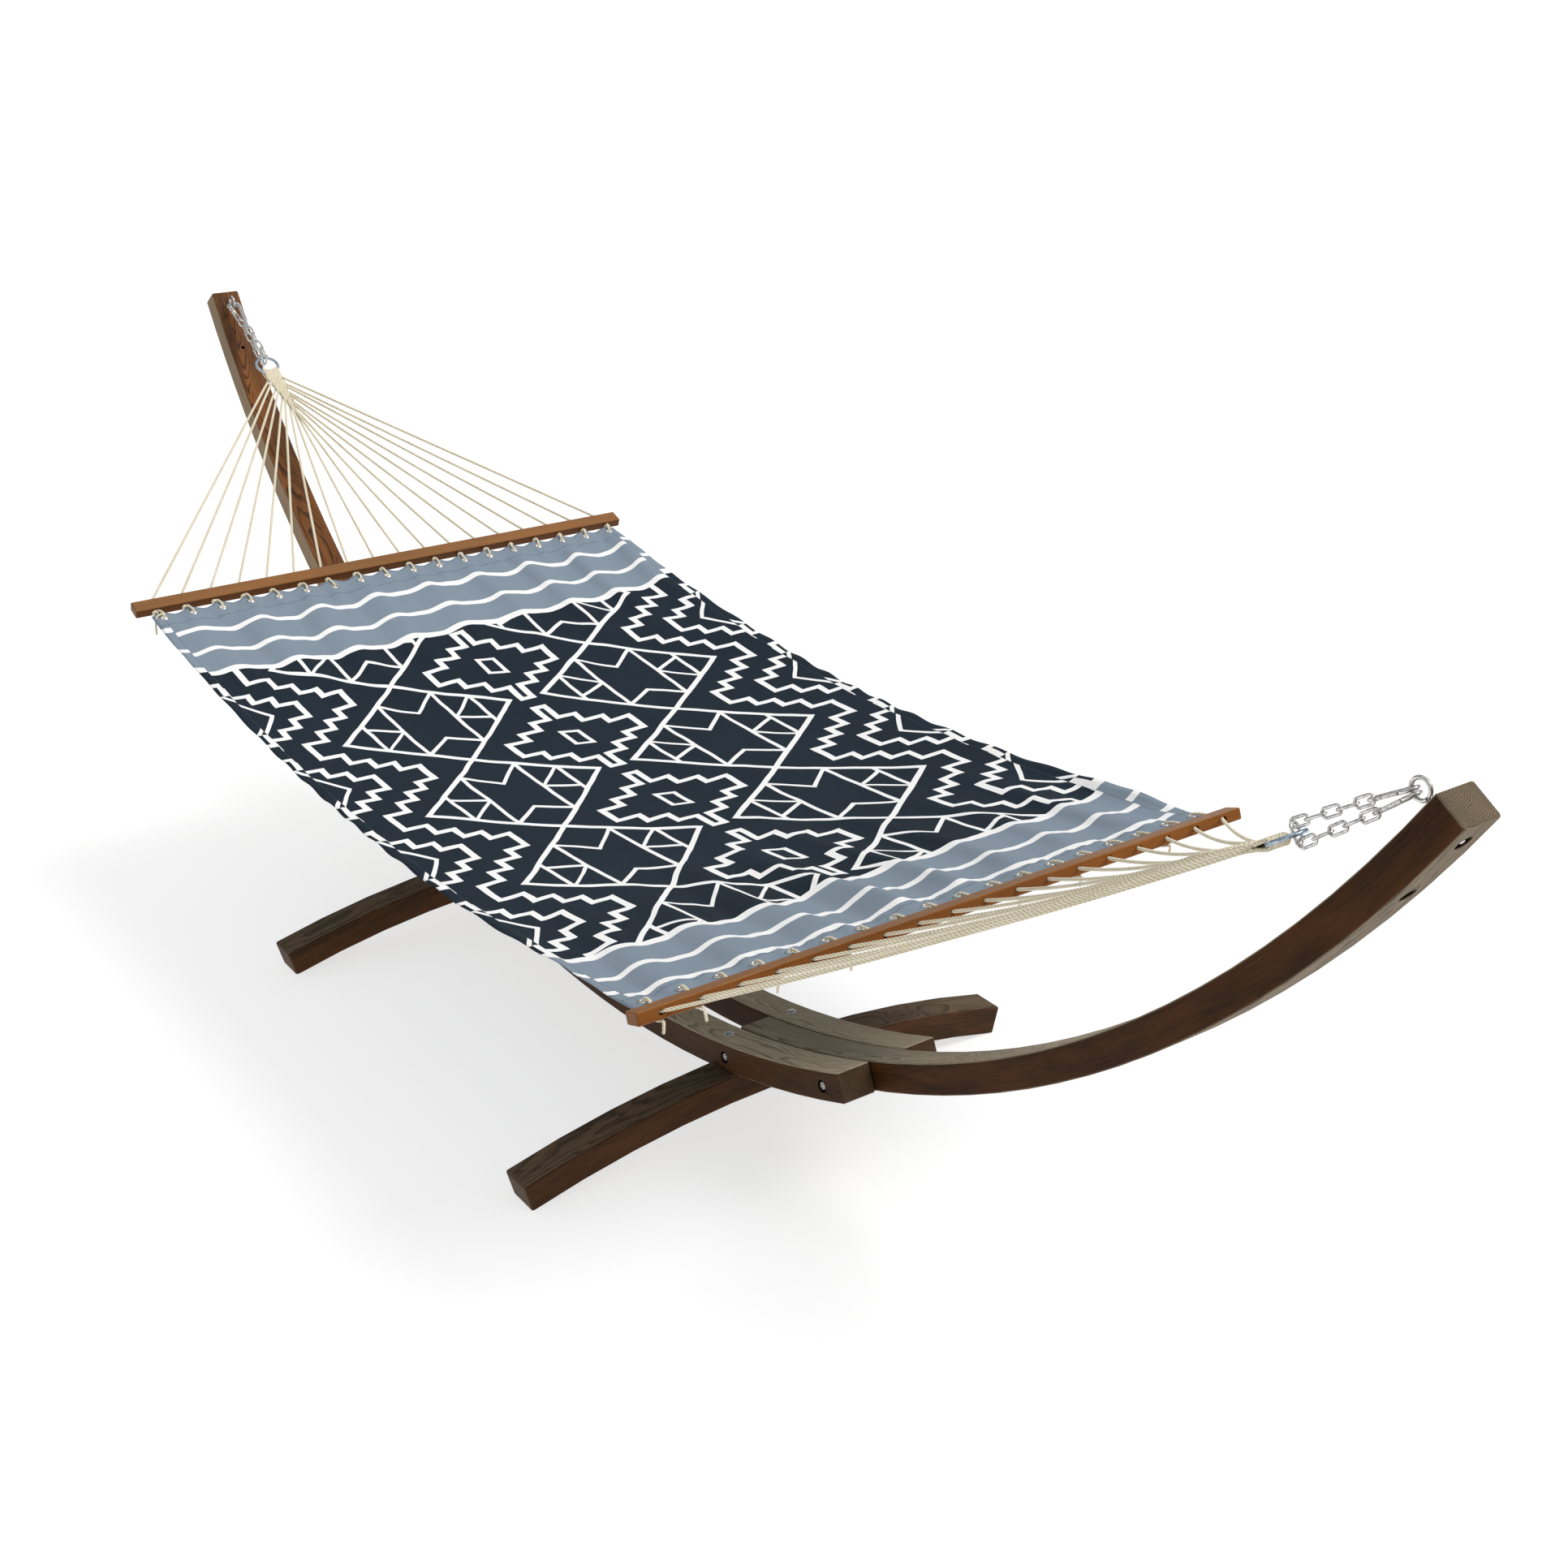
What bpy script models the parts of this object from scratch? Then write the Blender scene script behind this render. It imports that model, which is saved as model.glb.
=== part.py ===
"""A two-person hammock with spreader bars, hung from a free-standing bent-timber stand.

Metres, +Z up. X runs along the hammock from the head end (-X) to the foot end (+X).
The origin is on the floor, at the centre of the stand.
"""

from math import asin, cos, pi, radians, sin, sqrt, tan

import bmesh
import bpy
from mathutils import Matrix, Vector

# Stand: two rails and two arms bent to one circle, on two cross feet bent the other way.
ARC_CENTRE_Z = 2.396
ARC_RADIUS = 2.3066
BEAM_DEPTH = 0.055
BEAM_WIDTH = 0.070
ARM_SLACK = 0.0015
ARM_TIP_ANGLE = 1.0073
ARM_ROOT_ANGLE = 0.2103
RAIL_END_ANGLE = 0.3952
FOOT_X = 0.522
FOOT_WIDTH = 0.0695
FOOT_DEPTH = 0.0585
FOOT_TOP_RADIUS = 2.1129
FOOT_TOP_Z = 0.1253
FOOT_END_ANGLE = 0.2615
EDGE_ROUND = 0.003
GAP = 0.0003
SEAT_GAP = 0.0006

# Fasteners of the stand.
BOLT_RADIUS = 0.004
BOLT_CLEARANCE = 0.0005
COUNTERBORE_RADIUS = 0.012
COUNTERBORE_DEPTH = 0.010
THROUGH_BOLT_ANGLES = (0.2318, 0.3703)
CARRIAGE_BOLT_ANGLE = 0.219
DOME_RADIUS = 0.010
DOME_HEIGHT = 0.005
FLANGE_RADIUS = 0.0095
FLANGE_THICKNESS = 0.0015
HEX_RADIUS = 0.0075
HEX_HEIGHT = 0.0060

# Eye bolts at the arm tips, each with a spare hole further down the arm.
EYE_ANGLE = 0.989
SPARE_HOLE_ANGLE = 0.9390
EYE_STANDOFF = 0.027
EYE_WIRE = 0.0030
EYE_HOLE = 0.0115
EYE_COLLAR_RADIUS = 0.010
EYE_COLLAR_HEIGHT = 0.005
EYE_BORE_RADIUS = 0.013
EYE_BORE_DEPTH = 0.013

# Snap hooks, two on each eye.
HOOK_WIRE = 0.0030
HOOK_LENGTH = 0.073
HOOK_WIDE_RADIUS = 0.0125
HOOK_NARROW_RADIUS = 0.007
HOOK_NOSE = 0.017
HOOK_PIVOT = 0.057
GATE_RADIUS = 0.0028
GATE_PIN_RADIUS = 0.0011
TONGUE_THICKNESS = 0.0022
TONGUE_RADIUS = 0.0025
RUNNING_GAP = 0.0003

# Chain, one length doubled through the ring at each end.
LINK_WIRE = 0.002
LINK_INNER_LENGTH = 0.028
LINK_WIDTH = 0.0165
LINKS_PER_STRAND = 5
LINK_BITE = 0.0004
RING_RADIUS = 0.0265
RING_WIRE = 0.0035
CHAIN_DROP = {"head": radians(32.5), "foot": radians(35.7)}

# Hammock.
BAR_LENGTH = 1.226
BAR_WIDTH = 0.035
BAR_THICKNESS = 0.021
BAR_TILT = radians(20)
BAR_PLACE = {"head": (-1.026, 0.687), "foot": (1.063, 0.659)}
ROPE_COUNT = 18
ROPE_RADIUS = 0.003
ROPE_END_MARGIN = 0.040
ROPE_HOLE_CLEARANCE = 0.002
ROPE_SAG = {"head": 0.0, "foot": 0.012}
BAND_LENGTH = 0.165
BAND_HALF_WIDTH = 0.0185
BAND_TIP_HALF_WIDTH = 0.009
BAND_THICKNESS = 0.0155
BED_SIDE_MARGIN = 0.028
BED_THICKNESS = 0.002
BED_GAP = 0.012
BED_DROP = 0.004
EDGE_SAG = 0.095
CENTRE_SAG = 0.137
EYELET_INSET = 0.022
EYELET_CLEARANCE = 0.003
LACING_OVER = 0.002
LACING_UNDER = 0.0045

ROPE_HOLE_RADIUS = ROPE_RADIUS + ROPE_HOLE_CLEARANCE
EYELET_RADIUS = ROPE_RADIUS + EYELET_CLEARANCE
BED_WIDTH = BAR_LENGTH - 2 * BED_SIDE_MARGIN

ENDS = {"head": -1, "foot": 1}

for old in list(bpy.data.objects):
    bpy.data.objects.remove(old, do_unlink=True)

parts = bpy.data.collections.new("hammock_on_stand")
cutters = bpy.data.collections.new("hammock_cutters")
bpy.context.scene.collection.children.link(parts)
bpy.context.scene.collection.children.link(cutters)


def material(name, colour, roughness, metallic=0.0):
    """A plain finish: base colour, roughness and metallic value."""
    made = bpy.data.materials.new(name)
    made.use_nodes = True
    shader = made.node_tree.nodes["Principled BSDF"]
    shader.inputs["Base Color"].default_value = (*colour, 1.0)
    shader.inputs["Roughness"].default_value = roughness
    shader.inputs["Metallic"].default_value = metallic
    return made


def mesh_from(bm, name):
    """The mesh of a bmesh, with its faces turned outwards."""
    bmesh.ops.recalc_face_normals(bm, faces=bm.faces)
    mesh = bpy.data.meshes.new(name)
    bm.to_mesh(mesh)
    bm.free()
    return mesh


def add_part(name, mesh, colour, roughness, metallic=0.0, matrix=None, smooth=True):
    """A named piece of the assembly, with a material of its own."""
    part = bpy.data.objects.new(name, mesh)
    part.data.materials.clear()
    part.data.materials.append(material(name + "_finish", colour, roughness, metallic))
    if matrix is not None:
        part.matrix_world = matrix
    if smooth:
        mesh.shade_smooth()
        mesh.set_sharp_from_angle(angle=radians(35))
    parts.objects.link(part)
    return part


def add_cutter(name, mesh, matrix=None):
    """A helper shape for a Boolean, kept out of the assembly."""
    cutter = bpy.data.objects.new(name, mesh)
    if matrix is not None:
        cutter.matrix_world = matrix
    cutter.hide_render = True
    cutter.display_type = "WIRE"
    cutters.objects.link(cutter)
    return cutter


def boolean(part, other, operation="DIFFERENCE"):
    """An exact Boolean of one object with another."""
    modifier = part.modifiers.new(operation.lower() + "_" + other.name, "BOOLEAN")
    modifier.operation = operation
    modifier.solver = "EXACT"
    modifier.object = other
    return modifier


def evaluated_mesh(source, name):
    """The mesh of an object with its modifiers applied, welded shut."""
    bpy.context.view_layer.update()
    graph = bpy.context.evaluated_depsgraph_get()
    made = bpy.data.meshes.new_from_object(source.evaluated_get(graph))
    made.name = name
    bm = bmesh.new()
    bm.from_mesh(made)
    bmesh.ops.remove_doubles(bm, verts=bm.verts, dist=1e-6)
    bmesh.ops.recalc_face_normals(bm, faces=bm.faces)
    bm.to_mesh(made)
    bm.free()
    return made


def wire_mesh(name, points, radius, resolution=2, closed=False):
    """A round tube along a line of points, with closed ends."""
    curve = bpy.data.curves.new(name + "_line", "CURVE")
    curve.dimensions = "3D"
    curve.bevel_depth = radius
    curve.bevel_resolution = resolution
    curve.use_fill_caps = True
    spline = curve.splines.new("POLY")
    spline.points.add(len(points) - 1)
    for knot, place in zip(spline.points, points):
        knot.co = (*place, 1.0)
    spline.use_cyclic_u = closed
    guide = bpy.data.objects.new(name + "_guide", curve)
    cutters.objects.link(guide)
    made = evaluated_mesh(guide, name)
    bpy.data.objects.remove(guide, do_unlink=True)
    bpy.data.curves.remove(curve)
    return made


def cylinder_mesh(name, radius, start, end, segments=10):
    """A cylinder between two points."""
    axis = Vector(end) - Vector(start)
    turn = axis.to_track_quat("Z", "Y").to_matrix().to_4x4()
    middle = Matrix.Translation((Vector(start) + Vector(end)) / 2)
    bm = bmesh.new()
    bmesh.ops.create_cone(
        bm,
        cap_ends=True,
        segments=segments,
        radius1=radius,
        radius2=radius,
        depth=axis.length,
        matrix=middle @ turn,
    )
    return mesh_from(bm, name)


def box_mesh(name, size, matrix=None):
    """A box of the given sizes, centred on its matrix."""
    bm = bmesh.new()
    bmesh.ops.create_cube(bm, size=1.0)
    bmesh.ops.scale(bm, vec=size, verts=bm.verts)
    if matrix is not None:
        bmesh.ops.transform(bm, matrix=matrix, verts=bm.verts)
    return mesh_from(bm, name)


def turned_mesh(name, profile, steps=14):
    """A solid of revolution about Z, from (radius, height) points run from top to bottom."""
    line = bpy.data.meshes.new(name + "_profile")
    edges = [(i, i + 1) for i in range(len(profile) - 1)]
    line.from_pydata([(r, 0.0, z) for r, z in profile], edges, [])
    blank = bpy.data.objects.new(name + "_blank", line)
    cutters.objects.link(blank)
    screw = blank.modifiers.new("turn", "SCREW")
    screw.steps = steps
    screw.render_steps = steps
    screw.use_merge_vertices = True
    screw.merge_threshold = 0.0001
    made = evaluated_mesh(blank, name)
    bpy.data.objects.remove(blank, do_unlink=True)
    return made


def swept_beam(name, centre, axis, radius, depth, width, start, end, steps, edge):
    """A rectangular bar bent to a circle in the plane across `axis`, with eased edges.

    Angles run from straight down (or up, for a negative radius) on the circle.
    """
    bm = bmesh.new()
    bmesh.ops.create_grid(bm, x_segments=1, y_segments=1, size=0.5)
    bmesh.ops.scale(bm, vec=(width, depth, 1.0), verts=bm.verts)
    upright = Matrix.Rotation(pi / 2, 4, "X")
    if axis == "Y":
        upright = Matrix.Rotation(pi / 2, 4, "Z") @ upright
    bmesh.ops.transform(bm, matrix=upright, verts=bm.verts)
    bmesh.ops.translate(bm, vec=(0.0, 0.0, -radius), verts=bm.verts)
    along = Vector((0.0, -1.0, 0.0)) if axis == "Y" else Vector((1.0, 0.0, 0.0))
    bmesh.ops.transform(bm, matrix=Matrix.Rotation(start, 4, along), verts=bm.verts)
    bmesh.ops.translate(bm, vec=centre, verts=bm.verts)
    bmesh.ops.spin(
        bm,
        geom=bm.verts[:] + bm.edges[:] + bm.faces[:],
        cent=centre,
        axis=along,
        angle=end - start,
        steps=steps,
    )
    bmesh.ops.remove_doubles(bm, verts=bm.verts, dist=1e-6)
    open_edges = [e for e in bm.edges if e.is_boundary]
    if open_edges:
        bmesh.ops.holes_fill(bm, edges=open_edges)
    made = mesh_from(bm, name)
    if edge:
        blank = bpy.data.objects.new(name + "_blank", made)
        cutters.objects.link(blank)
        bevel = blank.modifiers.new("ease", "BEVEL")
        bevel.width = edge
        bevel.segments = 1
        bevel.limit_method = "ANGLE"
        bevel.angle_limit = radians(40)
        made = evaluated_mesh(blank, name)
        bpy.data.objects.remove(blank, do_unlink=True)
    return made


def on_arc(radius, angle, y=0.0):
    """A point of the stand's circle."""
    return Vector((radius * sin(angle), y, ARC_CENTRE_Z - radius * cos(angle)))


def radial_matrix(radius, angle, y=0.0):
    """A frame on the stand's circle: Z points away from the circle's centre, and Y along the world's Y."""
    outward = Vector((sin(angle), 0.0, -cos(angle)))
    across = Vector((0.0, 1.0, 0.0))
    turn = Matrix((across.cross(outward), across, outward)).transposed().to_4x4()
    return Matrix.Translation(on_arc(radius, angle, y)) @ turn


def chain_matrix(origin, direction):
    """A frame whose X runs along `direction` in the XZ plane and whose Y points to -Y of the world."""
    along = Vector(direction).normalized()
    side = Vector((0.0, -1.0, 0.0))
    normal = along.cross(side)
    turn = Matrix((along, side, normal)).transposed().to_4x4()
    return Matrix.Translation(origin) @ turn


DARK_LARCH = (0.062, 0.030, 0.016)
BAR_BROWN = (0.330, 0.130, 0.035)
ZINC = (0.70, 0.71, 0.72)
STEEL_RING = (0.50, 0.56, 0.64)
COTTON = (0.76, 0.70, 0.52)
NAVY = (0.020, 0.034, 0.052)

INNER_RADIUS = ARC_RADIUS - BEAM_DEPTH / 2
OUTER_RADIUS = ARC_RADIUS + BEAM_DEPTH / 2
RAIL_Y = BEAM_WIDTH + ARM_SLACK
RAIL_OUTER_Y = RAIL_Y + BEAM_WIDTH / 2
ARC_CENTRE = Vector((0.0, 0.0, ARC_CENTRE_Z))
HOLE_RADIUS = BOLT_RADIUS + BOLT_CLEARANCE


def build_rail(name, side):
    """One of the two long rails, drilled across for the through bolts and down for the carriage bolts."""
    centre = ARC_CENTRE + Vector((0.0, side * RAIL_Y, 0.0))
    span = (-RAIL_END_ANGLE, RAIL_END_ANGLE)
    mesh = swept_beam(name, centre, "Y", ARC_RADIUS, BEAM_DEPTH, BEAM_WIDTH, *span, 24, EDGE_ROUND)
    rail = add_part(name, mesh, DARK_LARCH, 0.55)
    outer = side * RAIL_OUTER_Y
    inner = side * (BEAM_WIDTH / 2)
    for end, sign in ENDS.items():
        for angle in THROUGH_BOLT_ANGLES:
            place = on_arc(ARC_RADIUS, sign * angle)
            tag = f"{name}_{end}_{round(angle * 1000)}"
            ends = (place + Vector((0, inner - side * 0.005, 0)), place + Vector((0, outer + side * 0.005, 0)))
            boolean(rail, add_cutter(tag + "_bore", cylinder_mesh(tag, HOLE_RADIUS, *ends)))
            floor = place + Vector((0, outer - side * COUNTERBORE_DEPTH, 0))
            ends = (floor, place + Vector((0, outer + side * 0.005, 0)))
            boolean(rail, add_cutter(tag + "_sink", cylinder_mesh(tag, COUNTERBORE_RADIUS, *ends, 14)))
        ends = (
            on_arc(INNER_RADIUS - 0.005, sign * CARRIAGE_BOLT_ANGLE, side * RAIL_Y),
            on_arc(OUTER_RADIUS + 0.005, sign * CARRIAGE_BOLT_ANGLE, side * RAIL_Y),
        )
        tag = f"{name}_{end}_carriage_bore"
        boolean(rail, add_cutter(tag, cylinder_mesh(tag, HOLE_RADIUS, *ends)))
    return rail


def build_arm(name, sign):
    """One arm, clamped between the rails at its root and carrying the eye bolt at its tip."""
    span = sorted((sign * ARM_ROOT_ANGLE, sign * ARM_TIP_ANGLE))
    mesh = swept_beam(name, ARC_CENTRE, "Y", ARC_RADIUS, BEAM_DEPTH, BEAM_WIDTH, *span, 24, EDGE_ROUND)
    arm = add_part(name, mesh, DARK_LARCH, 0.55)
    for angle in THROUGH_BOLT_ANGLES:
        place = on_arc(ARC_RADIUS, sign * angle)
        reach = Vector((0, BEAM_WIDTH / 2 + 0.005, 0))
        tag = f"{name}_{round(angle * 1000)}_bore"
        boolean(arm, add_cutter(tag, cylinder_mesh(tag, HOLE_RADIUS, place - reach, place + reach)))
    for tag, angle in (("eye", EYE_ANGLE), ("spare", SPARE_HOLE_ANGLE)):
        inside = on_arc(INNER_RADIUS - 0.005, sign * angle)
        outside = on_arc(OUTER_RADIUS + 0.005, sign * angle)
        floor = on_arc(OUTER_RADIUS - EYE_BORE_DEPTH, sign * angle)
        tag = f"{name}_{tag}"
        boolean(arm, add_cutter(tag + "_bore", cylinder_mesh(tag, HOLE_RADIUS, inside, outside)))
        boolean(arm, add_cutter(tag + "_sink", cylinder_mesh(tag, EYE_BORE_RADIUS, floor, outside, 14)))
    return arm


def build_cross_foot(name, sign):
    """A bowed cross foot: notched on top for the rails, flat on the floor at both ends."""
    centre = Vector((sign * FOOT_X, 0.0, FOOT_TOP_Z - FOOT_TOP_RADIUS))
    radius = FOOT_TOP_RADIUS - FOOT_DEPTH / 2
    span = (pi - FOOT_END_ANGLE, pi + FOOT_END_ANGLE)
    mesh = swept_beam(name, centre, "X", radius, FOOT_DEPTH, FOOT_WIDTH, *span, 10, EDGE_ROUND)
    foot = add_part(name, mesh, DARK_LARCH, 0.55)
    inner_angle = asin((FOOT_X - FOOT_WIDTH) / ARC_RADIUS)
    outer_angle = asin((FOOT_X + FOOT_WIDTH) / ARC_RADIUS)
    span = sorted((sign * inner_angle, sign * outer_angle))
    notch_depth = BEAM_DEPTH * 2
    notch_radius = OUTER_RADIUS + GAP - notch_depth / 2
    notch_width = 2 * (RAIL_OUTER_Y + 2 * GAP)
    tag = name + "_notch"
    notch = swept_beam(tag, ARC_CENTRE, "Y", notch_radius, notch_depth, notch_width, *span, 6, 0.0)
    boolean(foot, add_cutter(tag, notch))
    sole = Matrix.Translation((sign * FOOT_X, 0.0, -0.05))
    tag = name + "_sole"
    boolean(foot, add_cutter(tag, box_mesh(tag, (FOOT_WIDTH * 2, 1.4, 0.1), sole)))
    for side_name, side in (("near", -1), ("far", 1)):
        top = on_arc(INNER_RADIUS, sign * CARRIAGE_BOLT_ANGLE, side * RAIL_Y)
        low = on_arc(CARRIAGE_END_RADIUS + 0.03, sign * CARRIAGE_BOLT_ANGLE, side * RAIL_Y)
        floor = on_arc(CARRIAGE_NUT_RADIUS, sign * CARRIAGE_BOLT_ANGLE, side * RAIL_Y)
        tag = f"{name}_{side_name}_bore"
        boolean(foot, add_cutter(tag, cylinder_mesh(tag, HOLE_RADIUS, top, low)))
        tag = f"{name}_{side_name}_sink"
        boolean(foot, add_cutter(tag, cylinder_mesh(tag, COUNTERBORE_RADIUS, floor, low, 14)))
    return foot


def flange_nut_mesh(name):
    """A hex nut on a round flange, bored for the bolt. It stands on Z = 0 and rises along +Z."""
    height = FLANGE_THICKNESS + HEX_HEIGHT
    tag = name + "_flange"
    nut = cylinder_mesh(tag, FLANGE_RADIUS, (0, 0, 0), (0, 0, FLANGE_THICKNESS), 14)
    blank = add_cutter(tag, nut)
    hexagon = cylinder_mesh(name, HEX_RADIUS, (0, 0, FLANGE_THICKNESS / 2), (0, 0, height), 6)
    bore = cylinder_mesh(name, BOLT_RADIUS + 2 * GAP, (0, 0, -0.01), (0, 0, height + 0.01), 10)
    hexagon_cutter = add_cutter(name + "_hex", hexagon)
    bore_cutter = add_cutter(name + "_bore", bore)
    boolean(blank, hexagon_cutter, "UNION")
    boolean(blank, bore_cutter)
    made = evaluated_mesh(blank, name)
    for helper in (blank, hexagon_cutter, bore_cutter):
        bpy.data.objects.remove(helper, do_unlink=True)
    return made


def hex_bolt_mesh(name, length):
    """A flanged hex bolt: the shank runs down from Z = 0 and the head stands above it."""
    profile = [
        (0.0, FLANGE_THICKNESS),
        (FLANGE_RADIUS, FLANGE_THICKNESS),
        (FLANGE_RADIUS, 0.0),
        (BOLT_RADIUS, 0.0),
        (BOLT_RADIUS, -length + 0.001),
        (BOLT_RADIUS - 0.001, -length),
        (0.0, -length),
    ]
    blank = add_cutter(name + "_blank", turned_mesh(name, profile, 10))
    low, high = FLANGE_THICKNESS / 2, FLANGE_THICKNESS + HEX_HEIGHT * 0.9
    head = add_cutter(name + "_head", cylinder_mesh(name, HEX_RADIUS, (0, 0, low), (0, 0, high), 6))
    boolean(blank, head, "UNION")
    made = evaluated_mesh(blank, name)
    for helper in (blank, head):
        bpy.data.objects.remove(helper, do_unlink=True)
    return made


# The carriage bolts run through rail and foot. Their nuts sit in recesses under the feet.
FOOT_UNDER_Z = FOOT_TOP_Z - FOOT_DEPTH
CARRIAGE_END_RADIUS = (ARC_CENTRE_Z - FOOT_UNDER_Z) / cos(CARRIAGE_BOLT_ANGLE) - 0.002
CARRIAGE_NUT_RADIUS = CARRIAGE_END_RADIUS - FLANGE_THICKNESS - HEX_HEIGHT - 0.003

build_rail("rail_near", -1)
build_rail("rail_far", 1)
for end, sign in ENDS.items():
    build_arm("arm_" + end, sign)
    build_cross_foot("cross_foot_" + end, sign)


def build_through_bolts():
    """Four flanged bolts across rail, arm and rail. Heads on the far side, nuts on the near side."""
    seat = RAIL_OUTER_Y - COUNTERBORE_DEPTH
    length = 2 * seat + FLANGE_THICKNESS + HEX_HEIGHT + 0.001
    bolt = hex_bolt_mesh("through_bolt", length)
    nut = flange_nut_mesh("through_nut")
    for end, sign in ENDS.items():
        for tag, angle in zip(("inner", "outer"), THROUGH_BOLT_ANGLES):
            place = on_arc(ARC_RADIUS, sign * angle)
            head = Matrix.Translation(place + Vector((0, seat + GAP, 0))) @ Matrix.Rotation(-pi / 2, 4, "X")
            tail = Matrix.Translation(place - Vector((0, seat + GAP, 0))) @ Matrix.Rotation(pi / 2, 4, "X")
            add_part(f"through_bolt_{end}_{tag}", bolt.copy(), ZINC, 0.35, 1.0, head)
            add_part(f"through_nut_{end}_{tag}", nut.copy(), ZINC, 0.35, 1.0, tail)


def build_carriage_bolts():
    """Four dome-headed bolts, one down through each rail into each cross foot."""
    length = CARRIAGE_END_RADIUS - INNER_RADIUS
    arc = [(DOME_RADIUS * sin(a), DOME_HEIGHT * cos(a)) for a in (0.0, 0.6, 1.2)]
    profile = arc + [
        (DOME_RADIUS, 0.0),
        (BOLT_RADIUS, 0.0),
        (BOLT_RADIUS, -length + 0.001),
        (BOLT_RADIUS - 0.001, -length),
        (0.0, -length),
    ]
    bolt = turned_mesh("carriage_bolt", profile, 12)
    nut = flange_nut_mesh("carriage_nut")
    flip = Matrix.Rotation(pi, 4, "X")
    for end, sign in ENDS.items():
        for side_name, side in (("near", -1), ("far", 1)):
            seat = radial_matrix(INNER_RADIUS - SEAT_GAP, sign * CARRIAGE_BOLT_ANGLE, side * RAIL_Y)
            under = radial_matrix(CARRIAGE_NUT_RADIUS + GAP, sign * CARRIAGE_BOLT_ANGLE, side * RAIL_Y)
            add_part(f"carriage_bolt_{end}_{side_name}", bolt.copy(), ZINC, 0.35, 1.0, seat @ flip)
            add_part(f"carriage_nut_{end}_{side_name}", nut.copy(), ZINC, 0.35, 1.0, under)


build_through_bolts()
build_carriage_bolts()

# The eye's centre stands off the arm's inner face, and the eye's hole runs along Y.
EYE_RADIUS = EYE_HOLE + EYE_WIRE
EYE_CENTRE_RADIUS = INNER_RADIUS - EYE_STANDOFF


def build_eye_bolt(name, sign):
    """A forged eye on a collared shank, held by a flange nut sunk in the arm's outer face."""
    shank_end = OUTER_RADIUS - 0.002 - EYE_CENTRE_RADIUS
    profile = [
        (0.0, EYE_RADIUS - EYE_WIRE * 0.4),
        (BOLT_RADIUS, EYE_RADIUS - EYE_WIRE * 0.4),
        (BOLT_RADIUS, EYE_STANDOFF - EYE_COLLAR_HEIGHT),
        (EYE_COLLAR_RADIUS, EYE_STANDOFF - EYE_COLLAR_HEIGHT),
        (EYE_COLLAR_RADIUS, EYE_STANDOFF - SEAT_GAP),
        (BOLT_RADIUS, EYE_STANDOFF - SEAT_GAP),
        (BOLT_RADIUS, shank_end - 0.001),
        (BOLT_RADIUS - 0.001, shank_end),
        (0.0, shank_end),
    ]
    shank = turned_mesh(name, [(r, z) for r, z in reversed(profile)], 10)
    bm = bmesh.new()
    bm.from_mesh(shank)
    bmesh.ops.recalc_face_normals(bm, faces=bm.faces)
    bm.to_mesh(shank)
    bm.free()
    turn = Matrix.Rotation(pi / 2, 4, "X")
    bpy.ops.mesh.primitive_torus_add(
        major_segments=18, minor_segments=6, major_radius=EYE_RADIUS, minor_radius=EYE_WIRE
    )
    ring = bpy.context.object
    ring_mesh = ring.data
    ring_mesh.transform(turn)
    bpy.data.objects.remove(ring, do_unlink=True)
    place = radial_matrix(EYE_CENTRE_RADIUS, sign * EYE_ANGLE)
    eye = add_part(name, ring_mesh, ZINC, 0.3, 1.0, place)
    boolean(eye, add_cutter(name + "_shank", shank, place), "UNION")
    nut = flange_nut_mesh(name + "_nut")
    seat = radial_matrix(OUTER_RADIUS - EYE_BORE_DEPTH + GAP, sign * EYE_ANGLE)
    add_part("eye_nut_" + name.split("_")[-1], nut, ZINC, 0.35, 1.0, seat)


for end, sign in ENDS.items():
    build_eye_bolt("eye_bolt_" + end, sign)

# Snap hook outline: X from the wide end's wire to the narrow end's, Y towards the gate.
WIDE_CENTRE = HOOK_WIDE_RADIUS
NARROW_CENTRE = HOOK_LENGTH - HOOK_NARROW_RADIUS
TAPER = asin((HOOK_WIDE_RADIUS - HOOK_NARROW_RADIUS) / (NARROW_CENTRE - WIDE_CENTRE))
WIDE_TANGENT = Vector((WIDE_CENTRE + HOOK_WIDE_RADIUS * sin(TAPER), HOOK_WIDE_RADIUS * cos(TAPER), 0.0))


def gate_line(along):
    """A point on the hook's gate side, at a distance from its wide end."""
    return Vector((along, WIDE_TANGENT.y - tan(TAPER) * (along - WIDE_TANGENT.x), 0.0))


def arc_points(centre, radius, start, end, count):
    """Points of an arc about (centre, 0), from one angle to another."""
    turn = [start + (end - start) * i / (count - 1) for i in range(count)]
    return [Vector((centre + radius * cos(a), radius * sin(a), 0.0)) for a in turn]


def hook_points():
    """The hook's centreline: nose, wide end, spine, narrow end and the stub that holds the gate."""
    lean = pi / 2 - TAPER
    points = [gate_line(HOOK_NOSE)]
    points += arc_points(WIDE_CENTRE, HOOK_WIDE_RADIUS, lean, 2 * pi - lean, 11)
    points += arc_points(NARROW_CENTRE, HOOK_NARROW_RADIUS, -lean, lean, 8)
    points.append(gate_line(HOOK_PIVOT + GATE_RADIUS + 2 * RUNNING_GAP))
    return points


def gate_frame(along):
    """A frame on the gate side whose X runs along the gate towards the narrow end."""
    return Matrix.Translation(gate_line(along)) @ Matrix.Rotation(-TAPER, 4, "Z")


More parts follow.
